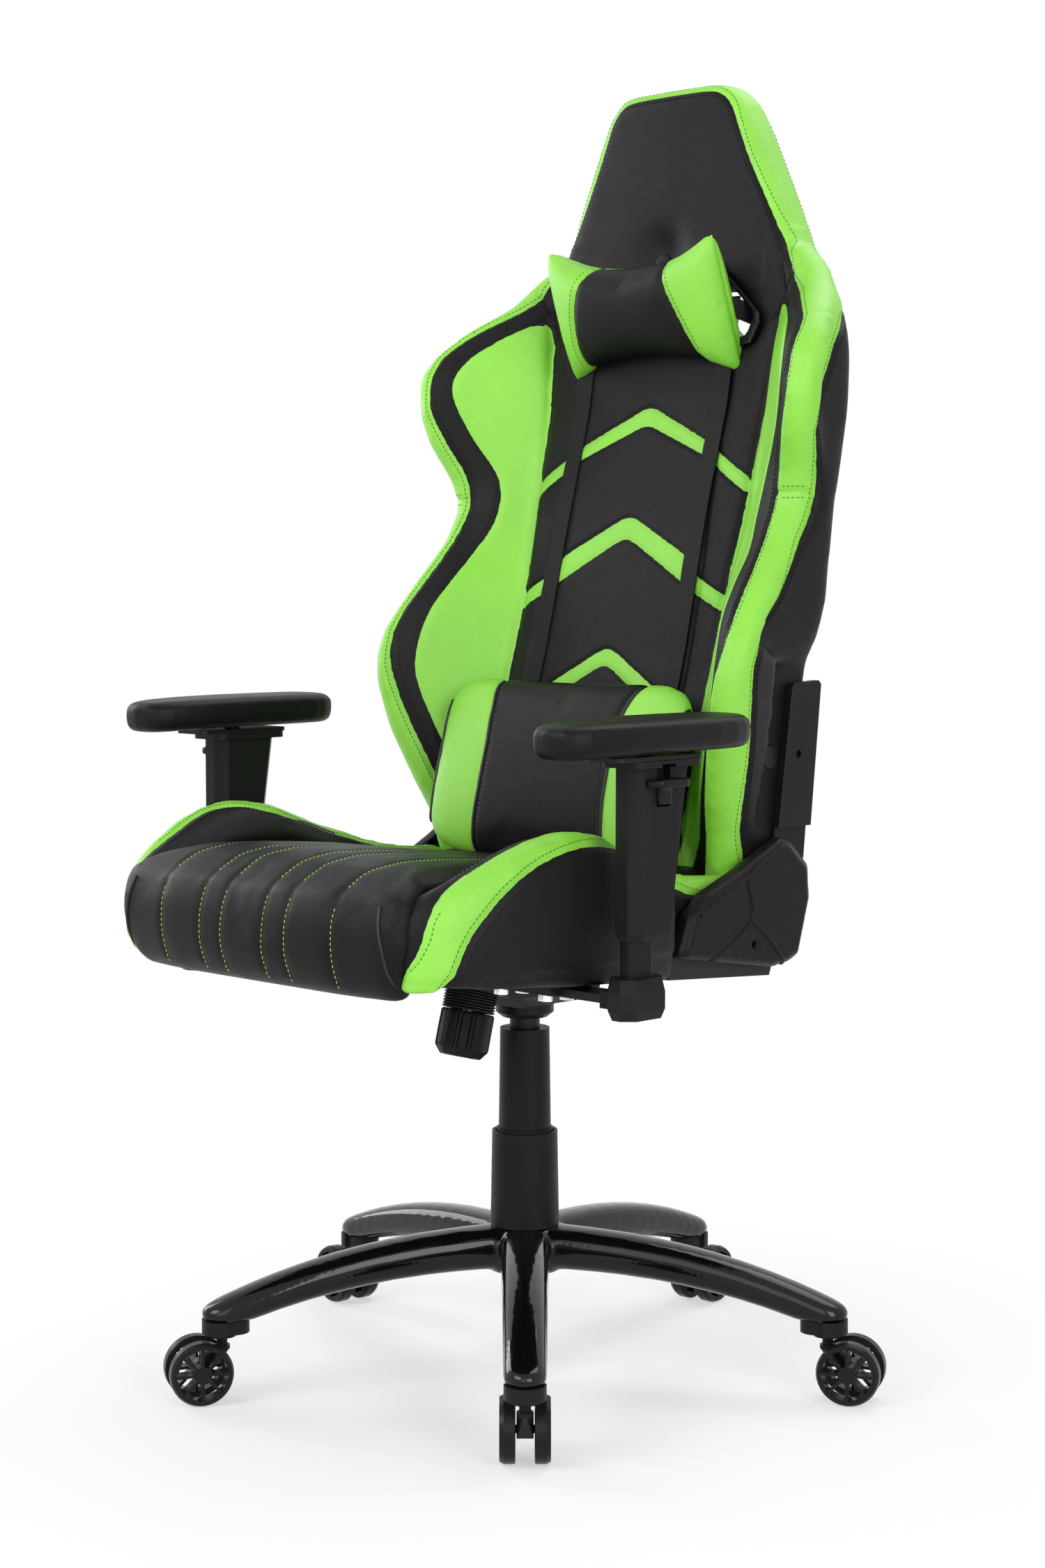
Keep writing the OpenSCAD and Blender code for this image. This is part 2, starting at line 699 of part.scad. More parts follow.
module arm_post(side) {
    cut = 11;
    color(PLASTIC)
        on_side(side)
            difference() {
                union() {
                    loft([
                        octagon(sleeve_w - 4, foot_depth - 6, cut, foot_z),
                        octagon(sleeve_w + 1, foot_depth, cut, foot_z + 9),
                        octagon(sleeve_w + 1, foot_depth, cut, foot_top_z - 13),
                        octagon(sleeve_w - 3, foot_depth - 5, cut, foot_top_z)
                    ]);
                    translate([collar_x, -arm_y - bar_depth / 2 - 3, bar_z - 4])
                        cube([arm_x - collar_x, bar_depth + 6, bar_t + 8]);
                    translate([arm_x, -arm_y, foot_top_z - 10])
                        linear_extrude(post_top_z - foot_top_z + 10) rounded_rect(post_w, post_depth, 5);
                }
                translate([collar_x - 1, -arm_y - bar_depth / 2 - run_fit, bar_z - run_fit])
                    cube([arm_x + sleeve_w / 2 - 4 - collar_x, bar_depth + 2 * run_fit, bar_t + 2 * run_fit]);
            }
}

sleeve_low_depth = 57;
sleeve_high_depth = 80;
button_y = -arm_y + 16;
button_z = sleeve_top_z - 12;

module arm_sleeve(side) {
    cut = 11;
    low_shift = sleeve_low_depth / 2 - 20;
    high_shift = sleeve_high_depth / 2 - 20;
    color(PLASTIC)
        on_side(side)
            difference() {
                union() {
                    loft([
                        octagon(sleeve_w - 3, sleeve_low_depth - 3, cut, sleeve_z, low_shift),
                        octagon(sleeve_w, sleeve_low_depth, cut, sleeve_z + 6, low_shift),
                        octagon(sleeve_w, sleeve_high_depth, cut, sleeve_top_z, high_shift)
                    ]);
                    translate([arm_x, -arm_y + high_shift, sleeve_top_z - 2])
                        linear_extrude(slider_z - sleeve_top_z + 2) rounded_rect(sleeve_w + 14, 90, 10);
                }
                translate([arm_x, -arm_y, sleeve_z - 1])
                    linear_extrude(post_top_z + 48 - sleeve_z + 1)
                        rounded_rect(post_w + 2 * slide_gap, post_depth + 2 * slide_gap, 5 + slide_gap);
                translate([arm_x + sleeve_w / 2 - 8, button_y - 9 - slide_gap, button_z - 26])
                    cube([20, 18 + 2 * slide_gap, slider_z - 3 - button_z + 26]);
            }
}

module arm_button(side) {
    paddle_t = 8;
    tip_r = 12;
    paddle_half = 13;
    stem_in = 7.4;
    color(PLASTIC)
        on_side(side) {
            translate([arm_x + sleeve_w / 2 + 2, button_y, button_z - paddle_t]) {
                intersection() {
                    linear_extrude(paddle_t) {
                        for (s = [-1, 1]) translate([3, s * paddle_half]) circle(tip_r);
                        translate([3 - tip_r, -paddle_half]) square([2 * tip_r, 2 * paddle_half]);
                    }
                    translate([-1.7, -60, -1]) cube([60, 120, 60]);
                }
            }
            translate([arm_x + sleeve_w / 2 - stem_in, button_y - 9, button_z - 24])
                cube([stem_in + 4, 18, 24]);
        }
}

slider_z = sleeve_top_z + 4.3;
slider_t = 4;
pad_z = slider_z + slider_t + 2 * slide_gap;
stud_d = 16;
stud_h = 12;
pad_mid_y = -145;

module pad_slider(side) {
    color(STEEL_BLACK)
        on_side(side) translate([arm_x, -arm_y + 10, slider_z + slide_gap]) {
            linear_extrude(slider_t) rounded_rect(46, 116, 8);
            cylinder(d = stud_d, h = slider_t + stud_h);
        }
}

// Outline of the pad at height z, drawn in from its edge and cut off square at the front.
function pad_ring(inset, z) = [
    for (j = [0 : 23])
        let (a = j * 15, p = 3.6, w = pad_w / 2 - inset, l = pad_len / 2 - inset)
            [
                arm_x + w * super(cos(a), p) * (1 - 0.12 * max(0, -sin(a))),
                pad_mid_y + l * super(sin(a), p),
                z - 3 * max(0, -sin(a))
            ]
];

module arm_pad(side) {
    color(PLASTIC)
        on_side(side)
            difference() {
                loft([
                    pad_ring(8, pad_z + 3), pad_ring(2, pad_z + 7), pad_ring(0, pad_z + 15),
                    pad_ring(0, pad_top_z - 9), pad_ring(3, pad_top_z - 4), pad_ring(10, pad_top_z - 1),
                    pad_ring(26, pad_top_z)
                ]);
                translate([arm_x - 30, -arm_y + 10 - 90, pad_z - 10]) cube([60, 180, 13.2]);
                translate([arm_x, -arm_y + 10, pad_z])
                    cylinder(d = stud_d + 2 * run_fit, h = stud_h + slide_gap);
            }
}

// ---------------------------------------------------------------- recliner

recliner_x = frame_half_w;
bracket_x = recliner_x + plate_t + 1;
cover_x = bracket_x + plate_t + 1.3;
cover_t = 18;
cover_front = pivot_y - 174;
shaft_end = cover_x - 1;
// Outlines as [depth, height] from the recline pivot. The right cover is lower in front of the lever.
cover_back_edge = [[-3, 63], [25, 38], [28, 4], [11, -52], [-4, -58], [-29, -61], [-168, -39], [-171, -34]];
cover_left_top = [[-157, 1], [-135, 20], [-80, 41], [-18, 68]];
cover_right_top = [[-157, -6], [-138, 2], [-91, 19], [-50, 40], [-19, 58], [-5, 58]];
cover_screw = [-63, -35];
cover_post = [-130, -19];

// Puts a drawing of depth (Y) and height (Z) upright, extruded outward from x.
module upright(x, t) {
    translate([x, 0, 0]) rotate([90, 0, 90]) linear_extrude(t) children();
}

// The seat's half of each recliner, welded along the edge of the pan.
module recliner_plates() {
    color(STEEL_BLACK)
        for (side = [-1, 1]) on_side(side)
            upright(recliner_x, plate_t)
                difference() {
                    union() {
                        polygon([
                            [pivot_y - 164, rake_z(pivot_y - 164, -rail_h)], [pivot_y - 160, pivot_z - 2],
                            [pivot_y - 138, pivot_z + 10], [pivot_y - 70, pivot_z + 32], [pivot_y, pivot_z + 24],
                            [pivot_y + 16, pivot_z], [seat_back - 1, rake_z(seat_back - 1, -rail_h)]
                        ]);
                        translate([pivot_y, pivot_z]) circle(24);
                    }
                    translate([pivot_y, pivot_z]) circle(d = shaft_d + 2 * run_fit);
                }
}

module recliner_cover(side) {
    bevel = 5;
    wall = 3;
    centre = [-72, -2];
    outline = side > 0
        ? concat(cover_left_top, cover_back_edge)
        : concat(cover_right_top, [for (i = [1 : len(cover_back_edge) - 1]) cover_back_edge[i]]);
    color(PLASTIC)
        on_side(side) translate([0, pivot_y, pivot_z])
            difference() {
                union() {
                    difference() {
                        union() {
                            upright(cover_x, cover_t - bevel) polygon(outline);
                            upright(cover_x, cover_t)
                                translate(centre) scale(0.93) translate(-centre) polygon(outline);
                        }
                        upright(cover_x - 1, cover_t - wall + 1)
                            translate(centre) scale(0.88) translate(-centre) polygon(outline);
                    }
                    for (p = [cover_screw, cover_post])
                        upright(recliner_x + plate_t, cover_x + cover_t - wall / 2 - recliner_x - plate_t)
                            translate(p) circle(8);
                }
                upright(recliner_x, 60) translate(cover_screw) circle(4);
                if (side < 0) upright(cover_x, cover_t + 1) circle(d = shaft_d + 3);
            }
}

// The shaft that joins both recliners. Its right end carries the recline lever.
module recline_shaft() {
    lever_end = cover_x + cover_t + 13;
    color(ZINC)
        translate([-lever_end, pivot_y, pivot_z]) rotate([0, 90, 0]) cylinder(d = shaft_d, h = lever_end + shaft_end);
}

module recline_lever() {
    x = cover_x + cover_t + 1;
    grip = [-62, -3];
    color(PLASTIC)
        on_side(-1)
            difference() {
                union() {
                    translate([x, pivot_y, pivot_z]) rotate([0, 90, 0]) cylinder(d = 30, h = 15);
                    hull() {
                        translate([x + 3, pivot_y, pivot_z]) rotate([0, 90, 0]) cylinder(d = 26, h = 10, $fn = 32);
                        translate([x + 4, pivot_y + grip[0], pivot_z + grip[1]])
                            rotate([0, 90, 0]) cylinder(d = 18, h = 9, $fn = 32);
                    }
                    hull()
                        for (s = [1, 2.1]) translate([x + 8.5, pivot_y + grip[0] * s, pivot_z + grip[1] * s])
                            rotate([0, 90, 0]) cylinder(d = 20 - 3 * s, h = 11 - s, center = true, $fn = 32);
                }
                translate([x - 1, pivot_y, pivot_z]) rotate([0, 90, 0])
                    cylinder(d = shaft_d + 2 * run_fit, h = 14);
            }
}

// ---------------------------------------------------------------- backrest

// Front surface of the backrest along its middle: distance behind the column axis.
function back_front(z) = lookup(z, [
    [back_z, 70], [650, 98], [748, 127], [886, 160], [1000, 192], [1100, 209], [1180, 217], [1240, 219], [1290, 219], [1400, 220]
]);
function back_thick(z) = lookup(z, [
    [back_z, back_t - 20], [back_z + 40, back_t], [1080, back_t], [1200, back_t - 12],
    [back_top_z - 22, back_t - 22], [back_top_z - 6, back_t - 28], [back_top_z, back_t - 42]
]);
function back_rear(z) = back_front(z) + back_thick(z);
// Half width of the centre panel, which the wings flank up to the shoulders.
function panel_half_w(z) = lookup(z, [
    [back_z, 137], [700, 141], [800, 146], [900, 151], [1000, 158], [1090, 162], [1118, 172], [1136, 173], [1160, 161],
    [1206, 142], [1276, 111], [1315, 92], [back_top_z - 6, 78], [back_top_z, 62]
]);

// Outline of the backrest's centre panel: share of the half width, share of the thickness.
panel_face_line = [[0, -0.03], [0.5, -0.02], [0.88, 0], [0.97, 0.06], [1, 0.2]];
panel_rear_line = [[1, 0.72], [0.9, 0.94], [0.5, 1], [0, 1.02]];
function panel_face(x, z) = back_front(z) + back_thick(z) * lookup(abs(x) / panel_half_w(z), panel_face_line);

module back_panel_body() {
    zs = [back_z, 585, 650, 700, 748, 800, 850, 900, 950, 1000, 1045, 1090, 1118, 1136, 1160, 1206, 1276, 1315,
          back_top_z - 6, back_top_z];
    section = concat(panel_face_line, panel_rear_line);
    loft([
        for (z = zs) let (w = panel_half_w(z), y = back_front(z), t = back_thick(z)) concat(
            [for (p = section) [w * p[0], y + t * p[1], z]],
            [for (i = [len(section) - 2 : -1 : 1]) [-w * section[i][0], y + t * section[i][1], z]]
        )
    ]);
}

// Frame tubes: a ladder of round tube with a narrower pair up to the headrest.
frame_low_z = 645;
frame_mid_z = 1025;
frame_high_z = 1285;
upright_half_w = 112;
frame_neck_half_w = 30;
frame_offset = 42;
bracket_pad_x = bracket_x;
function frame_y(z) = back_front(z) + frame_offset;

module tube_between(a, b, d) {
    v = b - a;
    h = norm(v);
    translate(a) rotate([0, acos(v[2] / h), atan2(v[1], v[0])]) cylinder(d = d, h = h);
}

module frame_tubes(d, reach) {
    low = frame_y(frame_low_z) - 16;
    high = frame_y(frame_high_z) - 6;
    mid = frame_y(frame_mid_z);
    // Bars run past the thinner uprights, which end inside them
    past = 0.8 * d;
    thin = d - 3;
    tube_between([-reach, low, frame_low_z], [reach, low, frame_low_z], d);
    tube_between([-upright_half_w - past, mid, frame_mid_z], [upright_half_w + past, mid, frame_mid_z], d);
    tube_between([-frame_neck_half_w - past, high, frame_high_z], [frame_neck_half_w + past, high, frame_high_z], d);
    for (s = [-1, 1]) {
        tube_between([s * upright_half_w, low, frame_low_z], [s * upright_half_w, mid, frame_mid_z], thin);
        tube_between([s * frame_neck_half_w, mid, frame_mid_z], [s * frame_neck_half_w, high, frame_high_z], thin);
    }
}

module back_frame() {
    color(STEEL_BLACK) frame_tubes(frame_tube_d, bracket_x);
}

// Harness slots: a slanted hole each side of the neck pillow.
slot_outline = [[50, 1128], [58, 1142], [84, 1141], [137, 1094], [139, 1084], [130, 1064], [116, 1061], [52, 1116]];
slot_wall = 5;
slot_lean = 9;
slot_mid = [96, 1102];

module slot_solid(shrink, from, to) {
    mid_y = back_front(slot_mid[1]);
    translate([0, mid_y, slot_mid[1]]) rotate([-slot_lean, 0, 0]) translate([0, 0, -slot_mid[1]])
        translate([0, to, 0]) rotate([90, 0, 0]) linear_extrude(to - from)
            translate(slot_mid) scale(shrink) translate(-slot_mid) polygon(slot_outline);
}

module backrest_cushion() {
    color(LEATHER_BLACK)
        difference() {
            back_panel_body();
            frame_tubes(frame_tube_d + 2 * slide_gap, bracket_x);
            for (side = [-1, 1]) on_side(side) slot_solid(1.01, -60, 160);
        }
}

module slot_bezels() {
    front = -7;
    rim_t = 2;
    back = back_t - 2;
    color(PLASTIC)
        for (side = [-1, 1]) on_side(side)
            difference() {
                union() {
                    slot_solid(1, front, back);
                    slot_solid(1.05, front, front + rim_t);
                }
                slot_solid(0.8, front - 1, back + 1);
            }
}

// Front edge of a wing at height z: [distance from the middle, distance behind the column axis].
function wing_edge(z) = [
    lookup(z, [[back_z, 194], [600, 209], [660, 228], [710, 238], [765, 240], [800, 235], [860, 224], [890, 222],
               [930, 233], [970, 249], [1010, 259], [1040, 261], [1072, 251], [1097, 230], [1120, 201], [1134, 177]]),
    lookup(z, [[back_z, 74], [600, 49], [660, 29], [710, 19], [740, 21], [765, 32], [800, 59], [860, 109], [900, 132],
               [930, 128], [970, 110], [1010, 101], [1040, 106], [1072, 127], [1097, 160], [1120, 194], [1134, 215]])
];
function wing_rear(z) = lookup(z, [
    [back_z, 150], [600, 160], [720, 184], [774, 191], [843, 192], [913, 195], [948, 202], [983, 204], [1039, 205],
    [1067, 207], [1095, 220], [1134, 236]
]);

// Outer face of a wing at its rear, flat and set in where the bracket lies against it.
function wing_side(z) = lookup(z, [
    [back_z, bracket_x - slide_gap], [738, bracket_x - slide_gap], [765, 236], [800, 245], [1010, 262], [1060, 262],
    [1097, 240], [1134, 198]
]);
function wing_flat_y(z) = lookup(z, [[back_z, 108], [600, 112], [720, 134], [760, 138]]);

module back_wing(side) {
    zs = [back_z, 570, 600, 630, 660, 700, 720, 740, 765, 800, 830, 860, 900, 930, 970, 1000, 1040, 1065, 1090, 1105, 1118,
          1134];
    color(LEATHER_GREEN)
        on_side(side)
            difference() {
                loft([
                    for (z = zs)
                        let (
                            e = wing_edge(z), root = panel_half_w(z) + slide_gap, front = back_front(z) + 6,
                            rear = wing_rear(z), root_rear = back_front(z) + 0.72 * back_thick(z),
                            side_x = e[0] + 22,
                            flat_x = wing_side(z), flat_y = max(e[1] + 34, z < 760 ? wing_flat_y(z) : 0),
                            nose = min(14, (e[0] - root) * 0.4)
                        )
                            [
                                [root, front, z],
                                [mix(root, e[0], 0.5) + 3, mix(front, e[1], 0.5) + 1, z],
                                [e[0] - nose, e[1] + 8, z],
                                [e[0], e[1], z],
                                [mix(e[0], side_x, 0.72), e[1] + 7, z],
                                [side_x, e[1] + 25, z],
                                [mix(side_x, flat_x, 0.25), mix(e[1] + 25, flat_y, 0.6), z],
                                [flat_x, flat_y, z],
                                [flat_x - 1, rear - 10, z],
                                [flat_x - 14, rear, z],
                                [mix(root, flat_x, 0.4), mix(root_rear, rear, 0.4) + 4, z],
                                [root, root_rear, z]
                            ]
                ]);
                frame_tubes(frame_tube_d + 2 * slide_gap, bracket_x);
            }
}

module back_brackets() {
    pad_t = 9;
    pad_low = 76;
    screw = [19, 149];
    color(PLASTIC)
        for (side = [-1, 1]) on_side(side) translate([0, pivot_y, pivot_z])
            difference() {
                union() {
                    upright(bracket_x, plate_t) {
                        polygon([[9, 213], [52, 216], [34, 45], [24, -8], [-23, -8], [-14, 60]]);
                        circle(24);
                    }
                    upright(bracket_x, pad_t)
                        polygon([[12, 220], [50, 222], [54, 218], [39, pad_low], [-12, pad_low], [8, 216]]);
                }
                upright(bracket_x - 10, 40) circle(d = shaft_d + 2 * run_fit);
                upright(bracket_x + 5, 10) translate(screw) circle(4);
            }
}

// ---------------------------------------------------------------- loose cushions

back_slope = atan((back_front(800) - back_front(600)) / 200);

// Ring of a cushion at x: half depth, half height, centre [y, z], leaning with the backrest.
function cushion_ring(x, half_d, half_h, centre, lean, p = 2.6) = [
    for (j = [0 : 15])
        let (a = j * 22.5, d = half_d * super(cos(a), p), h = half_h * super(sin(a), p))
            [x, centre[0] + d * cos(lean) + h * sin(lean), centre[1] + h * cos(lean) - d * sin(lean)]
];

lumbar_z = 627;
module lumbar_cushion() {
    // Each station: share of the half length, of the thickness, of the height, and how far its middle is forward
    half = [[0.3, 0.99, 1, 0], [0.65, 0.93, 0.97, 1], [0.88, 0.72, 0.9, 4], [0.97, 0.42, 0.8, 8], [1, 0.16, 0.66, 9]];
    stations = concat([for (i = [4 : -1 : 0]) [-half[i][0], half[i][1], half[i][2], half[i][3]]], [[0, 1, 1, 0]], half);
    back_gap = 4;
    middle_y = back_front(lumbar_z) - back_gap - lumbar_t / 2;
    color(LEATHER_BLACK)
        loft([
            for (s = stations)
                cushion_ring(s[0] * lumbar_half_w, s[1] * lumbar_t / 2, s[2] * lumbar_h / 2,
                             [middle_y - s[3], lumbar_z + 8 * pow(abs(s[0]), 3)], back_slope)
        ]);
}

pillow_z = 1104;
pillow_lean = -16;
module neck_pillow() {
    pillow_t = 54;
    // Each station: share of the half length, of the thickness and of the end height
    stations = [[-1, 0.14, 0.98], [-0.96, 0.42, 1], [-0.8, 0.74, 0.93], [-0.5, 0.96, 0.76], [0, 1, 0.68],
                [0.5, 0.96, 0.76], [0.8, 0.74, 0.93], [0.96, 0.42, 1], [1, 0.14, 0.98]];
    end_h = 146;
    middle_y = back_front(pillow_z) - pillow_t / 2 - 11.5;
    color(LEATHER_GREEN)
        loft([
            for (s = stations)
                cushion_ring(s[0] * pillow_half_w, s[1] * pillow_t / 2, s[2] * end_h / 2,
                             [middle_y, pillow_z], pillow_lean, 2.4)
        ]);
}

// Two webbing straps run from the harness slots down the backrest to the lumbar cushion.
module cushion_straps() {
    strap_x = 100;
    strap_t = 1.5;
    gap = 0.8;
    strap_top_z = 1030;
    zs = [lumbar_z + lumbar_h / 2 - 12, 748, 800, 850, 900, 950, 1000, strap_top_z];
    color(LEATHER_BLACK)
        for (s = [-1, 1])
            let (in_x = s * strap_x - strap_w / 2, out_x = s * strap_x + strap_w / 2)
                loft([
                    for (z = zs)
                        let (y_in = panel_face(in_x, z) - gap, y_out = panel_face(out_x, z) - gap)
                            [[in_x, y_in, z], [in_x, y_in - strap_t, z], [out_x, y_out - strap_t, z], [out_x, y_out, z]]
                ]);
}

// ---------------------------------------------------------------- nodes

star_base();
caster_sockets();
gas_tube();
column_cover_lower();
gas_piston();
column_cover_upper();
tilt_housing();
tension_spring();
tension_bolt();
mechanism_pins();
tension_knob();
height_lever();
seat_plate();
seat_bolts();
seat_frame();
seat_cushion();
seat_bolster(1);  // seat_bolster_left
seat_bolster(-1);  // seat_bolster_right
arm_brackets();
arm_post(1);  // arm_post_left
arm_post(-1);  // arm_post_right
recliner_plates();
recliner_cover(1);  // recliner_cover_left
recliner_cover(-1);  // recliner_cover_right
recline_shaft();
recline_lever();
arm_sleeve(1);  // arm_sleeve_left
arm_sleeve(-1);  // arm_sleeve_right
arm_button(1);  // arm_button_left
arm_button(-1);  // arm_button_right
pad_slider(1);  // pad_slider_left
pad_slider(-1);  // pad_slider_right
arm_pad(1);  // arm_pad_left
arm_pad(-1);  // arm_pad_right
back_brackets();
back_frame();
backrest_cushion();
back_wing(1);  // back_wing_left
back_wing(-1);  // back_wing_right
neck_pillow();
lumbar_cushion();
cushion_straps();
slot_bezels();
caster_housing(0);  // caster_housing_1
caster_housing(1);  // caster_housing_2
caster_housing(2);  // caster_housing_3
caster_housing(3);  // caster_housing_4
caster_housing(4);  // caster_housing_5
caster_wheel(0, 1);  // caster_wheel_1a
caster_wheel(0, -1);  // caster_wheel_1b
caster_wheel(1, 1);  // caster_wheel_2a
caster_wheel(1, -1);  // caster_wheel_2b
caster_wheel(2, 1);  // caster_wheel_3a
caster_wheel(2, -1);  // caster_wheel_3b
caster_wheel(3, 1);  // caster_wheel_4a
caster_wheel(3, -1);  // caster_wheel_4b
caster_wheel(4, 1);  // caster_wheel_5a
caster_wheel(4, -1);  // caster_wheel_5b
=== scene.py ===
import math

import bmesh
import bpy
import numpy as np
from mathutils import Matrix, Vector
from mathutils.bvhtree import BVHTree


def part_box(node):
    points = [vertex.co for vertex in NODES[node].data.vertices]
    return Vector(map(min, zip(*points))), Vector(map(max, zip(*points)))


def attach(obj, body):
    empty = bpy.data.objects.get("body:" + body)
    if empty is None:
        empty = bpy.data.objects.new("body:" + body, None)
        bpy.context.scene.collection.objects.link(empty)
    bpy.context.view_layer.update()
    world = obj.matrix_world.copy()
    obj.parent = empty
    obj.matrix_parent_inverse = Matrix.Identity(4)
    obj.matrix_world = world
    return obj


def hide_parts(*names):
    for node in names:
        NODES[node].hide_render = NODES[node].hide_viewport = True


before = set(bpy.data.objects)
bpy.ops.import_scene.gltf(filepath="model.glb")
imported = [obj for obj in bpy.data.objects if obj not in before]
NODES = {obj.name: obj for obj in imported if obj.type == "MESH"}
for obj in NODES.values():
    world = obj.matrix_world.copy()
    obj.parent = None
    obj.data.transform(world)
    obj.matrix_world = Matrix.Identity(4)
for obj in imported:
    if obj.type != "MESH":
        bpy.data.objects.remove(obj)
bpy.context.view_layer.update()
scene = bpy.context.scene


# ---------------------------------------------------------------- camera, light and floor

def camera():
    """Eye-level view from the front left of the sitter."""
    turn, distance, height, tilt, side = math.radians(45), 2.791, 0.833, math.radians(4.52), -0.0024
    cam = bpy.data.objects.new("camera", bpy.data.cameras.new("camera"))
    cam.data.lens = 62.74
    cam.data.sensor_width = 36
    cam.location = (distance * math.sin(turn) + side * math.cos(turn),
                    -distance * math.cos(turn) + side * math.sin(turn), height)
    cam.rotation_euler = (math.pi / 2 - tilt, 0, turn)
    scene.collection.objects.link(cam)
    scene.camera = cam


def softbox(name, place, aim, size, watts):
    lamp = bpy.data.objects.new(name, bpy.data.lights.new(name, "AREA"))
    lamp.data.shape = "RECTANGLE"
    lamp.data.size, lamp.data.size_y = size
    lamp.data.energy = watts
    lamp.location = place
    lamp.rotation_euler = (Vector(aim) - Vector(place)).to_track_quat("-Z", "Y").to_euler()
    scene.collection.objects.link(lamp)


class Mat:
    """A node material: a Principled shader and short calls that add nodes to it."""

    def __init__(self, name, base, rough=0.5, **sockets):
        self.mat = bpy.data.materials.new(name)
        self.mat.use_nodes = True
        self.tree = self.mat.node_tree
        self.shader = self.tree.nodes["Principled BSDF"]
        self.shader.inputs["Base Color"].default_value = (*base, 1)
        self.shader.inputs["Roughness"].default_value = rough
        for socket, value in sockets.items():
            self.shader.inputs[socket.replace("_", " ")].default_value = value
        self.base = base
        self.place = self.add("ShaderNodeTexCoord").outputs["Object"]
        self.bumped = None

    def add(self, kind, settings=None, **inputs):
        """A new node. An input is given by its name, or as i0, i1 and so on by its number."""
        node = self.tree.nodes.new(kind)
        for key, value in (settings or {}).items():
            setattr(node, key, value)
        for key, value in inputs.items():
            numbered = key[0] == "i" and key[1:].isdigit()
            socket = node.inputs[int(key[1:]) if numbered else key.replace("_", " ")]
            if isinstance(value, bpy.types.NodeSocket):
                self.tree.links.new(value, socket)
            else:
                socket.default_value = value
        return node

    def noise(self, scale, detail=2.0, vector=None):
        return self.add("ShaderNodeTexNoise", Vector=vector or self.place, Scale=scale,
                        Detail=detail).outputs["Fac"]

    def cells(self, scale):
        return self.add("ShaderNodeTexVoronoi", {"feature": "DISTANCE_TO_EDGE"}, Vector=self.place,
                        Scale=scale).outputs["Distance"]

    def spread(self, value, low, high, from_low=0.0, from_high=1.0):
        return self.add("ShaderNodeMapRange", Value=value, From_Min=from_low, From_Max=from_high, To_Min=low,
                        To_Max=high).outputs["Result"]

    def bump(self, height, strength, distance):
        inputs = {"Height": height, "Strength": strength, "Distance": distance}
        if self.bumped:
            inputs["Normal"] = self.bumped
        self.bumped = self.add("ShaderNodeBump", **inputs).outputs["Normal"]
        self.tree.links.new(self.bumped, self.shader.inputs["Normal"])
        return self

    def mottle(self, value, other):
        """Base colour that wanders from base to other with value."""
        mix = self.add("ShaderNodeMix", {"data_type": "RGBA"}, Factor=value)
        mix.inputs[6].default_value = (*self.base, 1)
        mix.inputs[7].default_value = (*other, 1)
        self.tree.links.new(mix.outputs[2], self.shader.inputs["Base Color"])
        return self

    def roughen(self, value, low, high):
        self.tree.links.new(self.spread(value, low, high), self.shader.inputs["Roughness"])
        return self


def shade(color, k):
    return tuple(c * k for c in color)


def leather(name, color, rough, dark=0.82, gloss=0.3):
    """Coated leather: pebble grain, faint creases and a soft wander of colour and gloss."""
    m = Mat(name, color, rough, Specular_IOR_Level=gloss)
    wide = m.noise(9, 3)
    m.mottle(m.spread(wide, 0, 1, 0.35, 0.7), shade(color, dark))
    m.roughen(m.noise(60, 3), rough - 0.06, rough + 0.1)
    m.bump(wide, 0.25, 0.002)
    m.bump(m.spread(m.cells(620), 0, 1, 0.0, 0.28), 0.32, 0.00035)
    m.bump(m.noise(1500, 2), 0.18, 0.0002)
    return m.mat


def moulded(name, color, rough, grain=900, depth=0.00018, edge_highlight=1.6):
    """Moulded plastic with a fine spark texture and lighter edges, a painted highlight."""
    m = Mat(name, color, rough, Specular_IOR_Level=0.12)
    edge = m.add("ShaderNodeNewGeometry").outputs["Pointiness"]
    # Painted highlight: the colour turns lighter where the surface bends sharply at its edges.
    m.mottle(m.spread(edge, 0, 0.8, 0.52, 0.62), shade(color, edge_highlight))
    m.roughen(m.noise(45, 3), rough - 0.05, rough + 0.08)
    m.bump(m.noise(grain, 3), 0.5, depth)
    m.bump(m.noise(14, 2), 0.1, 0.001)
    return m.mat


def metal(name, color, rough, metallic=0.0, coat=0.0, orange_peel=260):
    """Painted or plated steel with faint orange peel and fine scratches in the gloss."""
    m = Mat(name, color, rough, Metallic=metallic, Coat_Weight=coat, Coat_Roughness=0.04,
            Specular_IOR_Level=0.5 if metallic else 0.14)
    edge = m.add("ShaderNodeNewGeometry").outputs["Pointiness"]
    # Painted highlight: the colour turns lighter on sharp edges.
    m.mottle(m.spread(edge, 0, 0.7, 0.52, 0.62), tuple(min(1, c * 1.8 + 0.01) for c in color))
    stretch = m.add("ShaderNodeMapping", Vector=m.place)
    stretch.inputs["Scale"].default_value = (1, 1, 0.06)
    m.roughen(m.noise(420, 3, stretch.outputs["Vector"]), max(0.03, rough - 0.05), rough + 0.08)
    m.bump(m.noise(orange_peel, 2), 0.08, 0.0003)
    return m.mat


def woven(name, color, pitch=0.0016):
    """Webbing: ribs across the strap crossed by fine warp threads."""
    m = Mat(name, color, 0.72, Specular_IOR_Level=0.2)
    scale = 0.314 / pitch    # a wave texture of scale 0.314 repeats once a metre
    ribs = m.add("ShaderNodeTexWave", {"bands_direction": "Z"}, Vector=m.place, Scale=scale, Distortion=0.4)
    warp = m.add("ShaderNodeTexWave", {"bands_direction": "X"}, Vector=m.place, Scale=scale / 0.6,
                 Distortion=0.3)
    both = m.add("ShaderNodeMath", {"operation": "MULTIPLY"}, i0=ribs.outputs["Fac"],
                 i1=warp.outputs["Fac"]).outputs[0]
    m.mottle(both, shade(color, 1.9))
    m.bump(both, 0.6, 0.0004)
    return m.mat


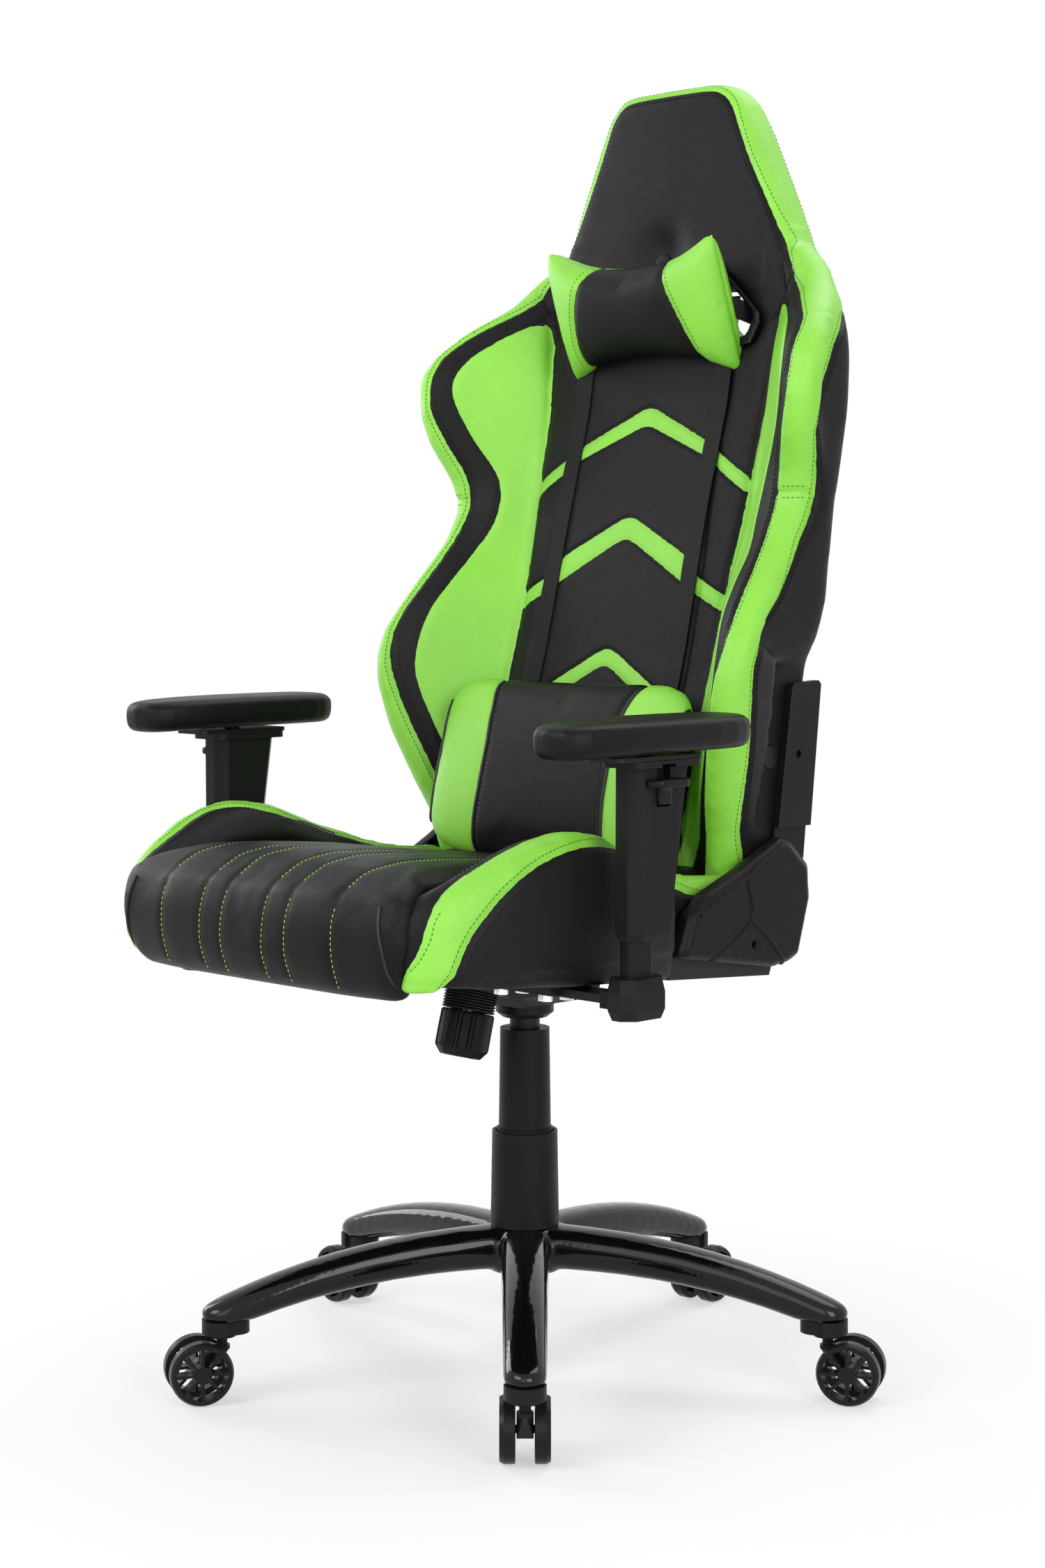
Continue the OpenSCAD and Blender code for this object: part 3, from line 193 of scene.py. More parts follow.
def thread(name, color):
    m = Mat(name, color, 0.6, Specular_IOR_Level=0.15)
    m.mottle(m.noise(900, 2), shade(color, 0.7))
    m.bump(m.noise(4000, 1), 0.4, 0.0001)
    return m.mat


GREEN = (0.238, 0.640, 0.046)
BLACK = (0.0055, 0.0051, 0.0058)
M = {
    "green": leather("leather_green", GREEN, 0.46, 0.9, 0.6),
    "black": leather("leather_black", BLACK, 0.42, 1.5, 0.13),
    "plastic": moulded("plastic_black", (0.0075, 0.0075, 0.0080), 0.42),
    "knob": moulded("plastic_smooth", (0.0078, 0.0078, 0.0082), 0.3, 500, 0.0001),
    "pad": moulded("foam_skin", (0.0060, 0.0060, 0.0063), 0.4, 700, 0.0003, 1.2),
    "gloss": metal("paint_gloss", (0.0028, 0.0028, 0.0030), 0.1, coat=0.3),
    "satin": metal("paint_satin", (0.0085, 0.0085, 0.0088), 0.36, orange_peel=700),
    "zinc": metal("zinc_plate", (0.62, 0.62, 0.58), 0.3, metallic=1.0),
    "wheel": moulded("wheel_black", (0.009, 0.009, 0.0095), 0.26, 300, 0.00005),
    "web": woven("webbing_black", (0.009, 0.009, 0.0095)),
    "thread_green": thread("thread_green", (0.33, 0.72, 0.10)),
    "thread_moss": thread("thread_moss", (0.05, 0.26, 0.012)),
    "thread_black": thread("thread_black", (0.006, 0.006, 0.0065)),
    "piping": leather("piping_black", (0.0095, 0.0095, 0.010), 0.4, 1.3),
}


def stage():
    """White floor that keeps the shadow near the chair and fades to white away from it."""
    bpy.ops.mesh.primitive_circle_add(vertices=96, radius=14, fill_type="NGON", location=(0, 0, -0.0005))
    floor = bpy.context.object
    floor.name = "floor"
    m = Mat("floor_white", (0.93, 0.93, 0.93), 0.7, Specular_IOR_Level=0.2)
    m.bump(m.noise(40, 2), 0.05, 0.001)
    far = m.add("ShaderNodeVectorMath", {"operation": "LENGTH"}, i0=m.place).outputs["Value"]
    fade = m.add("ShaderNodeMapRange", {"interpolation_type": "SMOOTHSTEP"}, Value=far, From_Min=0.16,
                 From_Max=0.8, To_Min=0.45).outputs["Result"]
    path = m.add("ShaderNodeLightPath").outputs
    direct = m.add("ShaderNodeMath", {"operation": "MAXIMUM"}, i0=path["Is Camera Ray"],
                   i1=path["Is Glossy Ray"]).outputs[0]
    seen = m.add("ShaderNodeMath", {"operation": "MULTIPLY"}, i0=direct, i1=fade).outputs[0]
    glow = m.add("ShaderNodeEmission", Color=(1, 1, 1, 1), Strength=1.0).outputs[0]
    mix = m.add("ShaderNodeMixShader", i0=seen, i1=m.shader.outputs[0], i2=glow)
    m.tree.links.new(mix.outputs[0], m.tree.nodes["Material Output"].inputs["Surface"])
    floor.data.materials.append(m.mat)

    world = bpy.data.worlds.new("studio")
    world.use_nodes = True
    scene.world = world
    tree = world.node_tree
    sky = tree.nodes["Background"]
    sky.inputs["Color"].default_value = (1, 1, 1, 1)
    sky.inputs["Strength"].default_value = 0.34
    white = tree.nodes.new("ShaderNodeBackground")
    white.inputs["Color"].default_value = (1, 1, 1, 1)
    path = tree.nodes.new("ShaderNodeLightPath")
    direct = tree.nodes.new("ShaderNodeMath")
    direct.operation = "MAXIMUM"
    mix = tree.nodes.new("ShaderNodeMixShader")
    for ray, socket in zip(("Is Camera Ray", "Is Glossy Ray"), direct.inputs):
        tree.links.new(path.outputs[ray], socket)
    for source, socket in zip((direct, sky, white), mix.inputs):
        tree.links.new(source.outputs[0], socket)
    tree.links.new(mix.outputs[0], tree.nodes["World Output"].inputs["Surface"])

    softbox("key", (-0.6, -3.6, 2.6), (0, 0, 0.8), (2.4, 1.8), 84)
    softbox("front", (2.2, -3.6, 1.7), (0, 0, 0.8), (2.8, 2.2), 32)
    softbox("side", (3.6, -1.0, 1.5), (0, 0, 0.7), (1.6, 2.2), 60)
    softbox("left", (-3.4, -0.4, 1.8), (0, 0, 0.8), (1.4, 2.2), 46)
    softbox("top", (0.2, 1.6, 3.4), (0, 0.1, 0.8), (2.2, 2.2), 44)
    scene.view_settings.view_transform = "Standard"


camera()
stage()


# ---------------------------------------------------------------- mesh tools

def curve_through(points, step=0.004):
    """Evenly spaced points along a smooth curve through the given ones."""
    p = np.array(points, float)
    ends = np.vstack([2 * p[0] - p[1], p, 2 * p[-1] - p[-2]])
    out = []
    for i in range(1, len(ends) - 2):
        a, b, c, d = ends[i - 1], ends[i], ends[i + 1], ends[i + 2]
        t = np.linspace(0, 1, 12, endpoint=False)[:, None]
        out.append(0.5 * (2 * b + (c - a) * t + (2 * a - 5 * b + 4 * c - d) * t ** 2
                          + (3 * b - a - 3 * c + d) * t ** 3))
    fine = np.vstack(out + [p[-1:]])
    return resample(fine, step)


def resample(line, step):
    """Points along a line of points, one step apart."""
    length = np.concatenate([[0], np.cumsum(np.linalg.norm(np.diff(line, axis=0), axis=1))])
    at = np.arange(0, length[-1] + step / 2, step)
    return np.stack([np.interp(at, length, line[:, k]) for k in range(line.shape[1])], 1)


def line_distance(a, b, line):
    """Signed distance in a plane from points (a, b) to a line of points: above 0 on the left of its run."""
    p = np.stack([a, b], 1)
    starts, ends = line[:-1], line[1:]
    way = ends - starts
    size = np.maximum(np.linalg.norm(way, axis=1), 1e-9)
    best, sign = np.full(len(p), 1e9), np.ones(len(p))
    for s, w, n in zip(starts, way, size):
        d = p - s
        along = np.clip((d @ w) / (n * n), 0, 1)
        gap = np.linalg.norm(d - along[:, None] * w, axis=1)
        cross = (w[0] * d[:, 1] - w[1] * d[:, 0]) / n
        better = gap - 1e-3 * np.abs(cross) < best
        best = np.where(better, gap - 1e-3 * np.abs(cross), best)
        sign = np.where(better, np.sign(cross + 1e-12), sign)
    return np.abs(best) * sign


def link(name, mesh, *materials):
    obj = bpy.data.objects.new(name, mesh)
    scene.collection.objects.link(obj)
    for m in materials:
        mesh.materials.append(M[m])
    return obj


def mesh_of(name, verts, faces, *materials):
    mesh = bpy.data.meshes.new(name)
    mesh.from_pydata([tuple(map(float, v)) for v in verts], [], faces)
    mesh.update()
    return link(name, mesh, *materials)


def loft(name, rings, *materials):
    """A closed skin over rings of equally many points."""
    n = len(rings[0])
    verts = [p for ring in rings for p in ring]
    faces = [(i * n + j, i * n + (j + 1) % n, (i + 1) * n + (j + 1) % n, (i + 1) * n + j)
             for i in range(len(rings) - 1) for j in range(n)]
    faces += [tuple(range(n))[::-1], tuple((len(rings) - 1) * n + j for j in range(n))]
    return mesh_of(name, verts, faces, *materials)


def applied(obj):
    """Puts the result of obj's modifiers into its mesh."""
    graph = bpy.context.evaluated_depsgraph_get()
    mesh = bpy.data.meshes.new_from_object(obj.evaluated_get(graph), preserve_all_data_layers=True,
                                           depsgraph=graph)
    obj.modifiers.clear()
    obj.data = mesh
    return obj


def modify(obj, kind, **settings):
    m = obj.modifiers.new(kind.lower(), kind)
    for key, value in settings.items():
        setattr(m, key, value)
    return m


def soften(name, node, voxel, passes, *materials):
    """A copy of a CAD solid with its facets melted into one soft skin."""
    obj = link(name, NODES[node].data.copy())
    obj.data.materials.clear()
    for m in materials:
        obj.data.materials.append(M[m])
    return melt(obj, voxel, passes)


def melt(obj, voxel, passes):
    modify(obj, "REMESH", mode="VOXEL", voxel_size=voxel, use_smooth_shade=True)
    modify(obj, "SMOOTH", factor=0.5, iterations=passes)
    return applied(obj)


def grow(obj, amount, where=None):
    """Pushes obj's skin outward, to make up for what the smoothing took. where weighs each point."""
    co, no = arrays(obj)
    weight = 1 if where is None else np.asarray(where(co, no), float)[:, None]
    set_points(obj, co + no * amount * weight)
    return obj


def arrays(obj):
    n = len(obj.data.vertices)
    co, no = np.zeros(n * 3), np.zeros(n * 3)
    obj.data.vertices.foreach_get("co", co)
    obj.data.vertices.foreach_get("normal", no)
    return co.reshape(-1, 3), no.reshape(-1, 3)


def set_points(obj, co):
    obj.data.vertices.foreach_set("co", np.asarray(co, float).ravel())
    obj.data.update()


def puff(obj, pressure, cap, hold, frames=20):
    """Fills obj as a sewn cover by cloth simulation. hold marks the points that stay, cap limits the rest."""
    co, _ = arrays(obj)
    cloth = modify(obj, "CLOTH")
    cloth.settings.use_pressure = True
    cloth.settings.uniform_pressure_force = pressure
    cloth.settings.effector_weights.gravity = 0
    cloth.settings.tension_stiffness = cloth.settings.compression_stiffness = 18
    group = obj.vertex_groups.new(name="hold")
    group.add([int(i) for i in np.nonzero(hold(co))[0]], 1.0, "REPLACE")
    cloth.settings.vertex_group_mass = "hold"
    cloth.point_cache.frame_start, cloth.point_cache.frame_end = 1, frames
    for f in range(1, frames + 1):
        scene.frame_set(f)
    applied(obj)
    scene.frame_set(1)
    new, _ = arrays(obj)
    move = new - co
    size = np.linalg.norm(move, axis=1, keepdims=True)
    set_points(obj, co + move * np.minimum(1, cap / np.maximum(size, 1e-9)))
    obj.vertex_groups.clear()
    return obj


def cut(obj, *fields):
    """Runs an edge line through obj along each field's zero. A field takes points and normals."""
    for field in fields:
        co, no = arrays(obj)
        value = field(co, no)
        bm = bmesh.new()
        bm.from_mesh(obj.data)
        bm.verts.ensure_lookup_table()
        bm.edges.ensure_lookup_table()
        ends = np.zeros(len(obj.data.edges) * 2, int)
        obj.data.edges.foreach_get("vertices", ends)
        ends = ends.reshape(-1, 2)
        crossing = np.nonzero(value[ends[:, 0]] * value[ends[:, 1]] < 0)[0]
        for i in crossing:
            a, b = ends[i]
            t = value[a] / (value[a] - value[b]) if value[a] * value[b] < 0 else 0.5
            for v, share, other in ((a, t, b), (b, 1 - t, a)):
                if share < 0.2 and value[v] != 0:
                    bm.verts[v].co = bm.verts[v].co.lerp(bm.verts[other].co, share)
                    value[v] = 0
        split = [(bm.edges[i], *ends[i]) for i in crossing if value[ends[i, 0]] * value[ends[i, 1]] < 0]
        on = {bm.verts[i] for i in np.nonzero(value == 0)[0]}
        faces = set()
        for e, a, b in split:
            t = value[a] / (value[a] - value[b])
            faces.update(e.link_faces)
            _, v = bmesh.utils.edge_split(e, bm.verts[a], t)
            on.add(v)
            bm.verts.ensure_lookup_table()
        for v in list(on):
            faces.update(v.link_faces)
        for face in faces:
            if not face.is_valid:
                continue
            hit = [v for v in face.verts if v in on]
            if len(hit) == 2 and not any(hit[1] in e.verts for e in hit[0].link_edges):
                bmesh.utils.face_split(face, hit[0], hit[1])
        bm.to_mesh(obj.data)
        bm.free()
        obj.data.update()
    return obj


def paint(obj, rule):
    """Sets each face's material slot by rule(centres, normals)."""
    n = len(obj.data.polygons)
    centre, normal = np.zeros(n * 3), np.zeros(n * 3)
    obj.data.polygons.foreach_get("center", centre)
    obj.data.polygons.foreach_get("normal", normal)
    slots = np.asarray(rule(centre.reshape(-1, 3), normal.reshape(-1, 3))).astype(np.int32)
    obj.data.polygons.foreach_set("material_index", slots)
    obj.data.update()
    return obj


def finer(obj, levels=1):
    modify(obj, "SUBSURF", levels=levels, render_levels=levels)
    applied(obj)
    obj.data.polygons.foreach_set("use_smooth", [True] * len(obj.data.polygons))
    return obj


def press(obj, field, depth, width):
    """Sinks obj along a field's zero, as a seam or a tuft does."""
    co, no = arrays(obj)
    d = field(co, no)
    set_points(obj, co - no * (depth * np.exp(-(d / width) ** 2))[:, None])
    return obj


def tree_of(obj):
    co, _ = arrays(obj)
    return BVHTree.FromPolygons([tuple(c) for c in co], [tuple(p.vertices) for p in obj.data.polygons])


FAR = 1.4    # more than the chair's width, so that every view starts outside it
HALF = .7071    # sine and cosine of 45 degrees
AIM = {"front": ((0, 1, 0), lambda a, b: (a, -FAR, b)),
       "back": ((0, -1, 0), lambda a, b: (a, FAR, b)),
       "left": ((-1, 0, 0), lambda a, b: (FAR, a, b)),
       "right": ((1, 0, 0), lambda a, b: (-FAR, a, b)),
       "top": ((0, 0, -1), lambda a, b: (a, b, 2 * FAR)),
       "diagonal_left": ((-HALF, HALF, 0), lambda a, b: (a * HALF + FAR, a * HALF - FAR, b)),
       "diagonal_right": ((HALF, HALF, 0), lambda a, b: (-a * HALF - FAR, a * HALF - FAR, b))}


def lay(line, view, tree):
    """Drops a flat line onto a mesh's tree along a view: runs of (point, normal) where it lands."""
    way, start = AIM[view]
    runs, run = [], []
    last = None
    for a, b in line:
        hit, normal, _, _ = tree.ray_cast(Vector(start(a, b)), Vector(way))
        jump = hit is not None and last is not None and (hit - last).length > 0.03
        if hit is None or jump:
            if len(run) > 1:
                runs.append(run)
            run = []
        if hit is not None:
            run.append((np.array(hit), np.array(normal)))
        last = hit
    if len(run) > 1:
        runs.append(run)
    return runs


def spot(s, far, rows):
    """The row at distance s, where far holds each row's distance along the line."""
    return np.array([np.interp(s, far, rows[:, k]) for k in range(3)])


class Sewing:
    """Collects stitches, each a short humped thread, into one mesh per colour."""

    def __init__(self):
        self.parts = {}

    def sew(self, body, colour, runs, pitch=0.0048, length=0.0034, r=0.00042):
        verts, faces = self.parts.setdefault((body, colour), ([], []))
        for run in runs:
            p = np.array([q[0] for q in run])
            nrm = np.array([q[1] for q in run])
            far = np.concatenate([[0], np.cumsum(np.linalg.norm(np.diff(p, axis=0), axis=1))])
            for s in np.arange(pitch / 2, far[-1] - length, pitch):
                at = [spot(s + share * length, far, p) for share in (0, 0.5, 1)]
                up = spot(s + length / 2, far, nrm)
                up /= max(np.linalg.norm(up), 1e-9)
                way = at[2] - at[0]
                way /= max(np.linalg.norm(way), 1e-9)
                side = np.cross(way, up)
                base = len(verts)
                for centre, lift, size in zip(at, (-0.2, 0.75, -0.2), (0.55, 1, 0.55)):
                    for angle in (0, 90, 180, 270):
                        c, t = math.cos(math.radians(angle)), math.sin(math.radians(angle))
                        verts.append(centre + up * r * lift + (side * c * 1.25 + up * t) * r * size)
                for low in (base, base + 4):
                    for j in range(4):
                        k = (j + 1) % 4
                        faces.append((low + j, low + k, low + 4 + k, low + 4 + j))
                faces.append((base + 3, base + 2, base + 1, base))
                faces.append((base + 8, base + 9, base + 10, base + 11))

    def finish(self):
        for (body, colour), (verts, faces) in self.parts.items():
            obj = mesh_of(f"stitches_{body}_{colour}", verts, faces, colour)
            obj.data.polygons.foreach_set("use_smooth", [True] * len(faces))
            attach(obj, body)


sewing = Sewing()


def tube(name, points, r, material, sides=10):
    """A round cord or bead through points."""
    p = np.array(points)
    way = np.gradient(p, axis=0)
    way /= np.maximum(np.linalg.norm(way, axis=1, keepdims=True), 1e-9)
    up = np.array([0.0, 0.0, 1.0]) if abs(way[0][2]) < 0.9 else np.array([1.0, 0, 0])
    verts, faces = [], []
    for c, w in zip(p, way):
        side = np.cross(w, up)
        side /= max(np.linalg.norm(side), 1e-9)
        up = np.cross(side, w)
        for j in range(sides):
            a = 2 * math.pi * j / sides
            verts.append(c + (side * math.cos(a) + up * math.sin(a)) * r)
    for i in range(len(p) - 1):
        for j in range(sides):
            k = (j + 1) % sides
            faces.append((i * sides + j, i * sides + k, (i + 1) * sides + k, (i + 1) * sides + j))
    faces += [tuple(range(sides))[::-1], tuple((len(p) - 1) * sides + j for j in range(sides))]
    obj = mesh_of(name, verts, faces, material)
    obj.data.polygons.foreach_set("use_smooth", [True] * len(faces))
    return obj


def place(obj, body, slot, *nodes, padded=None):
    """Last step for a piece: what it moves with and what it stands for; its finish (slot) is not used."""
    if nodes:
        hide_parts(*nodes)
    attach(obj, body)
    return obj


def hand(side):
    return "left" if side > 0 else "right"


def table(x, *pairs):
    """Straight-line lookup of x in (x, value) pairs."""
    return np.interp(x, [p[0] for p in pairs], [p[1] for p in pairs])


# ---------------------------------------------------------------- backrest

def back_front(z):
    """How far the flat panel's face lies behind the column axis."""
    return table(z, (.545, .070), (.65, .098), (.748, .127), (.886, .160), (1.0, .192), (1.1, .209),
                 (1.18, .217), (1.24, .219), (1.4, .220))


def panel_half(z):
    """Half the width of the flat panel and of the headrest above it."""
    return table(z, (.545, .137), (.7, .141), (.8, .146), (.9, .151), (1.0, .158), (1.09, .162),
                 (1.118, .172), (1.136, .173), (1.16, .161), (1.206, .142), (1.276, .111), (1.315, .092),
                 (1.33, .078), (1.336, .062))


# Lines along a wing, as smooth curves through their turning points: (height, distance from the middle,
# distance behind the column axis). The root lies beside the flat panel.
WING_ROOT = curve_through([(.53, .140, .074), (.62, .141, .092), (.79, .143, .143), (.87, .149, .169),
                           (.93, .152, .179), (1.00, .154, .191), (1.07, .159, .199), (1.11, .165, .205),
                           (1.14, .168, .208)])
# The edge of the bright inner face swells beside the ribs, draws in at the waist and swells at the shoulder
WING_INNER = curve_through([(.53, .150, .098), (.61, .175, .071), (.70, .208, .047), (.74, .214, .046),
                            (.785, .210, .061), (.82, .203, .088), (.85, .197, .116), (.885, .187, .139),
                            (.93, .191, .150), (.98, .218, .133), (1.03, .234, .120), (1.065, .223, .138),
                            (1.09, .197, .173), (1.11, .168, .199), (1.14, .160, .210)])
# The edge of the band round the rim runs outside it
RIM_TURNS = [(.53, .174, .083), (.56, .180, .078), (.60, .191, .061), (.69, .221, .034), (.74, .235, .031),
             (.785, .237, .046), (.835, .228, .088), (.89, .219, .127), (.93, .222, .132), (.965, .236, .118),
             (1.01, .253, .104), (1.05, .255, .112), (1.075, .249, .134), (1.10, .222, .166),
             (1.127, .182, .214)]
WING_RIM = curve_through(RIM_TURNS)
INNER_SEAM = WING_INNER[:, [1, 0]]
# The band's front seam goes on from the wings round the headrest: (distance from the middle, height)
RIM_SEAM = curve_through([(x, z) for z, x, y in RIM_TURNS]
                         + [(.174, 1.141), (.159, 1.164), (.1115, 1.252), (.0925, 1.295), (.084, 1.314),
                            (.070, 1.327), (.046, 1.3325), (-.02, 1.3335)])
# Its rear seam: (distance behind the column axis, height)
BAND_SEAM = curve_through([(.100, .510), (.078, .575), (.067, .632), (.053, .715), (.061, .750), (.100, .795),
                           (.127, .846), (.150, .885), (.156, .910), (.149, .940), (.137, .970),
                           (.145, 1.000), (.161, 1.032), (.178, 1.062), (.225, 1.104), (.254, 1.134),
                           (.270, 1.165), (.274, 1.21), (.267, 1.30), (.258, 1.33), (.255, 1.36)])


def on_line(line, z):
    """Where a wing's line is at height z: distance from the middle and behind the column axis."""
    return np.interp(z, line[:, 0], line[:, 1]), np.interp(z, line[:, 0], line[:, 2])


def facing(co, no):
    """How far a wing's surface faces the sitter."""
    return -0.6 * no[:, 0] * np.sign(co[:, 0]) - 0.8 * no[:, 1]


def is_front(co, no):
    return (facing(co, no) > -0.12) & (no[:, 2] < 0.75) & (co[:, 1] < back_front(co[:, 2]) + 0.034)


def root_seam(co, no):
    out = np.abs(co[:, 0]) - on_line(WING_ROOT, co[:, 2])[0]
    return np.where(is_front(co, no) & (co[:, 2] < 1.10), out, -0.02)


def inner_seam(co, no):
    return np.where(is_front(co, no), -line_distance(np.abs(co[:, 0]), co[:, 2], INNER_SEAM), 0.02)


def rim_seam(co, no):
    return np.where(is_front(co, no), -line_distance(np.abs(co[:, 0]), co[:, 2], RIM_SEAM), 0.02)


def band_seam(co, no):
    outer = (no[:, 0] * np.sign(co[:, 0]) > 0.1) | (no[:, 1] > 0.3) | (no[:, 2] > 0.6)
    field = np.where(outer, -line_distance(co[:, 1], co[:, 2], BAND_SEAM), -0.02)
    rear = (co[:, 1] > back_front(co[:, 2]) + .02) & (np.abs(co[:, 0]) < panel_half(co[:, 2]) - .018)
    return np.where(rear & (co[:, 2] < 1.3), 0.02, field)


def shoulder_seam(co, no):
    """Short seam between the headrest's face and the wing's border."""
    x, z = np.abs(co[:, 0]), co[:, 2]
    return np.where(is_front(co, no) & (x > .160) & (x < .186), z - 1.112 - (x - .166) * 1.5, 0.03)


WAIST = .908


def waist_seam(co, no):
    """Joint across the band at the waist."""
    on_band = (rim_seam(co, no) > 0) & (band_seam(co, no) < 0) & (np.abs(co[:, 0]) > .19)
    return np.where(on_band, co[:, 2] - WAIST, 0.03)


def shifted(line, off):
    """The line moved sideways, to its right."""
    way = np.gradient(line, axis=0)
    way /= np.maximum(np.linalg.norm(way, axis=1, keepdims=True), 1e-9)
    return line + off * np.stack([way[:, 1], -way[:, 0]], 1)


def sided(line, side):
    return np.stack([line[:, 0] * side, line[:, 1]], 1)


def chevron(apex, knee, wrist, tip):
    """Edge of a chevron: heights at the middle, at the centre strip's edge and on the side strip."""
    half = [(.012, apex - .0035), (.0875, knee), (.108, wrist), (.155, tip)]
    return np.array([(-x, z) for x, z in half[::-1]] + [(0, apex)] + half)


CHEVRONS = [(chevron(1.003, .965, .952, .923), chevron(.984, .950, .937, .907)),
            (chevron(.887, .846, .824, .800), chevron(.864, .819, .807, .784)),
            (chevron(.749, .703, .690, .664), chevron(.731, .683, .671, .646))]
# Seam between the centre strip and the side strip: (distance from the middle, height)
STRIP_SEAM = np.array([(.106, .50), (.113, .73), (.111, .84), (.106, .92), (.104, .97), (.108, 1.04),
                       (.112, 1.058)])


def on_panel(co, no):
    return is_front(co, no) & (no[:, 1] < -.5) & (np.abs(co[:, 0]) < on_line(WING_ROOT, co[:, 2])[0])


def chevron_field(line):
    def field(co, no):
        return np.where(on_panel(co, no), co[:, 2] - np.interp(co[:, 0], line[:, 0], line[:, 1]), 0.03)
    return field


def strip_seam(co, no):
    x = np.interp(co[:, 2], STRIP_SEAM[:, 1], STRIP_SEAM[:, 0])
    return np.where(on_panel(co, no) & (co[:, 2] < 1.056), np.abs(co[:, 0]) - x, 0.03)


def near_shoulder(co, no):
    return (co[:, 2] > 1.085) & (co[:, 2] < 1.185) & (np.abs(co[:, 0]) > .135)


def back_skin():
    """One soft skin over the flat panel and both wings, brought to the lines that the wings follow."""
    verts, faces = [], []
    for node in ("backrest_cushion", "back_wing_left", "back_wing_right"):
        mesh = NODES[node].data
        co = np.zeros(len(mesh.vertices) * 3)
        mesh.vertices.foreach_get("co", co)
        co = co.reshape(-1, 3)
        if node != "backrest_cushion":
            root = np.abs(co[:, 0]) < panel_half(co[:, 2]) + .004
            co[root, 0] -= np.sign(co[root, 0]) * .018
            co[root, 1] += np.where(co[root, 1] < back_front(co[root, 2]) + .02, .012, -.012)
            top = co[:, 2] > 1.125
            co[top, 0] -= np.sign(co[top, 0]) * .010
            co[top, 2] += .024
        co[co[:, 2] < .553, 2] -= .027
        faces += [tuple(i + len(verts) for i in p.vertices) for p in mesh.polygons]
        verts += list(co)
    obj = melt(mesh_of("backrest_skin", verts, faces, "green", "black"), 0.0055, 8)
    grow(obj, .0026)
    co, no = arrays(obj)
    x, z, side = np.abs(co[:, 0]), co[:, 2], np.sign(co[:, 0])
    inner = (facing(co, no) > 0.15) & (z < 1.125)
    (rx, ry), (ax, ay), (bx, by) = [on_line(line, z) for line in (WING_ROOT, WING_INNER, WING_RIM)]
    share = np.clip((x - rx) / np.maximum(ax - rx, .004), 0, 1)
    near = ry + (ay - ry) * share + .004 * np.sin(np.pi * share)
    far = ay + (by - ay) * np.clip((x - ax) / np.maximum(bx - ax, .004), 0, 1)
    goal = np.where(x < ax, near, far)
    weight = np.clip((x - rx) / .01, 0, 1) * np.clip((bx + .004 - x) / .006, 0, 1)
    weight *= np.clip((1.125 - z) / .02, 0, 1) * inner
    co[:, 1] += np.clip(goal - co[:, 1], -.014, .012) * weight
    # Flat where the hinge brackets lie against the wings
    flat = (z < .735) & (co[:, 1] > .10)
    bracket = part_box("back_brackets")[1].x - .0095
    co[:, 0] = np.where(flat, np.minimum(x, bracket) * side, co[:, 0])
    set_points(obj, co)
    group = obj.vertex_groups.new(name="shoulder")
    group.add([int(i) for i in np.nonzero(near_shoulder(co, no))[0]], 1.0, "REPLACE")
    modify(obj, "SMOOTH", factor=0.5, iterations=20, vertex_group="shoulder")
    modify(obj, "SMOOTH", factor=0.5, iterations=4)
    applied(obj)
    obj.vertex_groups.clear()
    grow(obj, .0015, near_shoulder)
    co, _ = arrays(obj)
    set_points(obj, dished(co))
    return obj


SLOT_X, SLOT_Z = .070, 1.128    # inner end of a harness slot
SLOT_OUT, SLOT_DOWN = .052, .045    # from there to its outer end


def dished(co):
    """Thins the backrest round the harness slots, which are set in a dish in its rear face."""
    x, z = np.abs(co[:, 0]) - SLOT_X, co[:, 2] - SLOT_Z
    along = np.clip((x * SLOT_OUT - z * SLOT_DOWN) / (SLOT_OUT ** 2 + SLOT_DOWN ** 2), 0, 1)
    gap = np.hypot(x - SLOT_OUT * along, z + SLOT_DOWN * along)
    depth = np.clip(1 - (gap - .030) / .045, 0, 1)
    depth = .6 * depth * depth * (3 - 2 * depth)
    front = back_front(co[:, 2])
    out = co.copy()
    out[:, 1] = np.where(co[:, 1] > front, front + (co[:, 1] - front) * (1 - depth), co[:, 1])
    return out


def slot_rings():
    """Trim rings of the harness slots, as deep as the dished backrest."""
    for side in (1, -1):
        obj = link(f"slot_ring_{hand(side)}", NODES["slot_bezels"].data.copy())
        obj.data.materials.clear()
        obj.data.materials.append(M["knob"])
        bm = bmesh.new()
        bm.from_mesh(obj.data)
        bmesh.ops.delete(bm, geom=[v for v in bm.verts if v.co.x * side < 0], context="VERTS")
        bm.to_mesh(obj.data)
        bm.free()
        modify(obj, "REMESH", mode="VOXEL", voxel_size=0.0018, use_smooth_shade=True)
        modify(obj, "SMOOTH", factor=0.5, iterations=5)
        applied(obj)
        co, _ = arrays(obj)
        set_points(obj, dished(co))
        place(obj, "backrest", "plastic_black", *(("slot_bezels",) if side > 0 else ()))


CHEVRON_STITCH = .138    # the stitches beside a chevron end before the wing's root


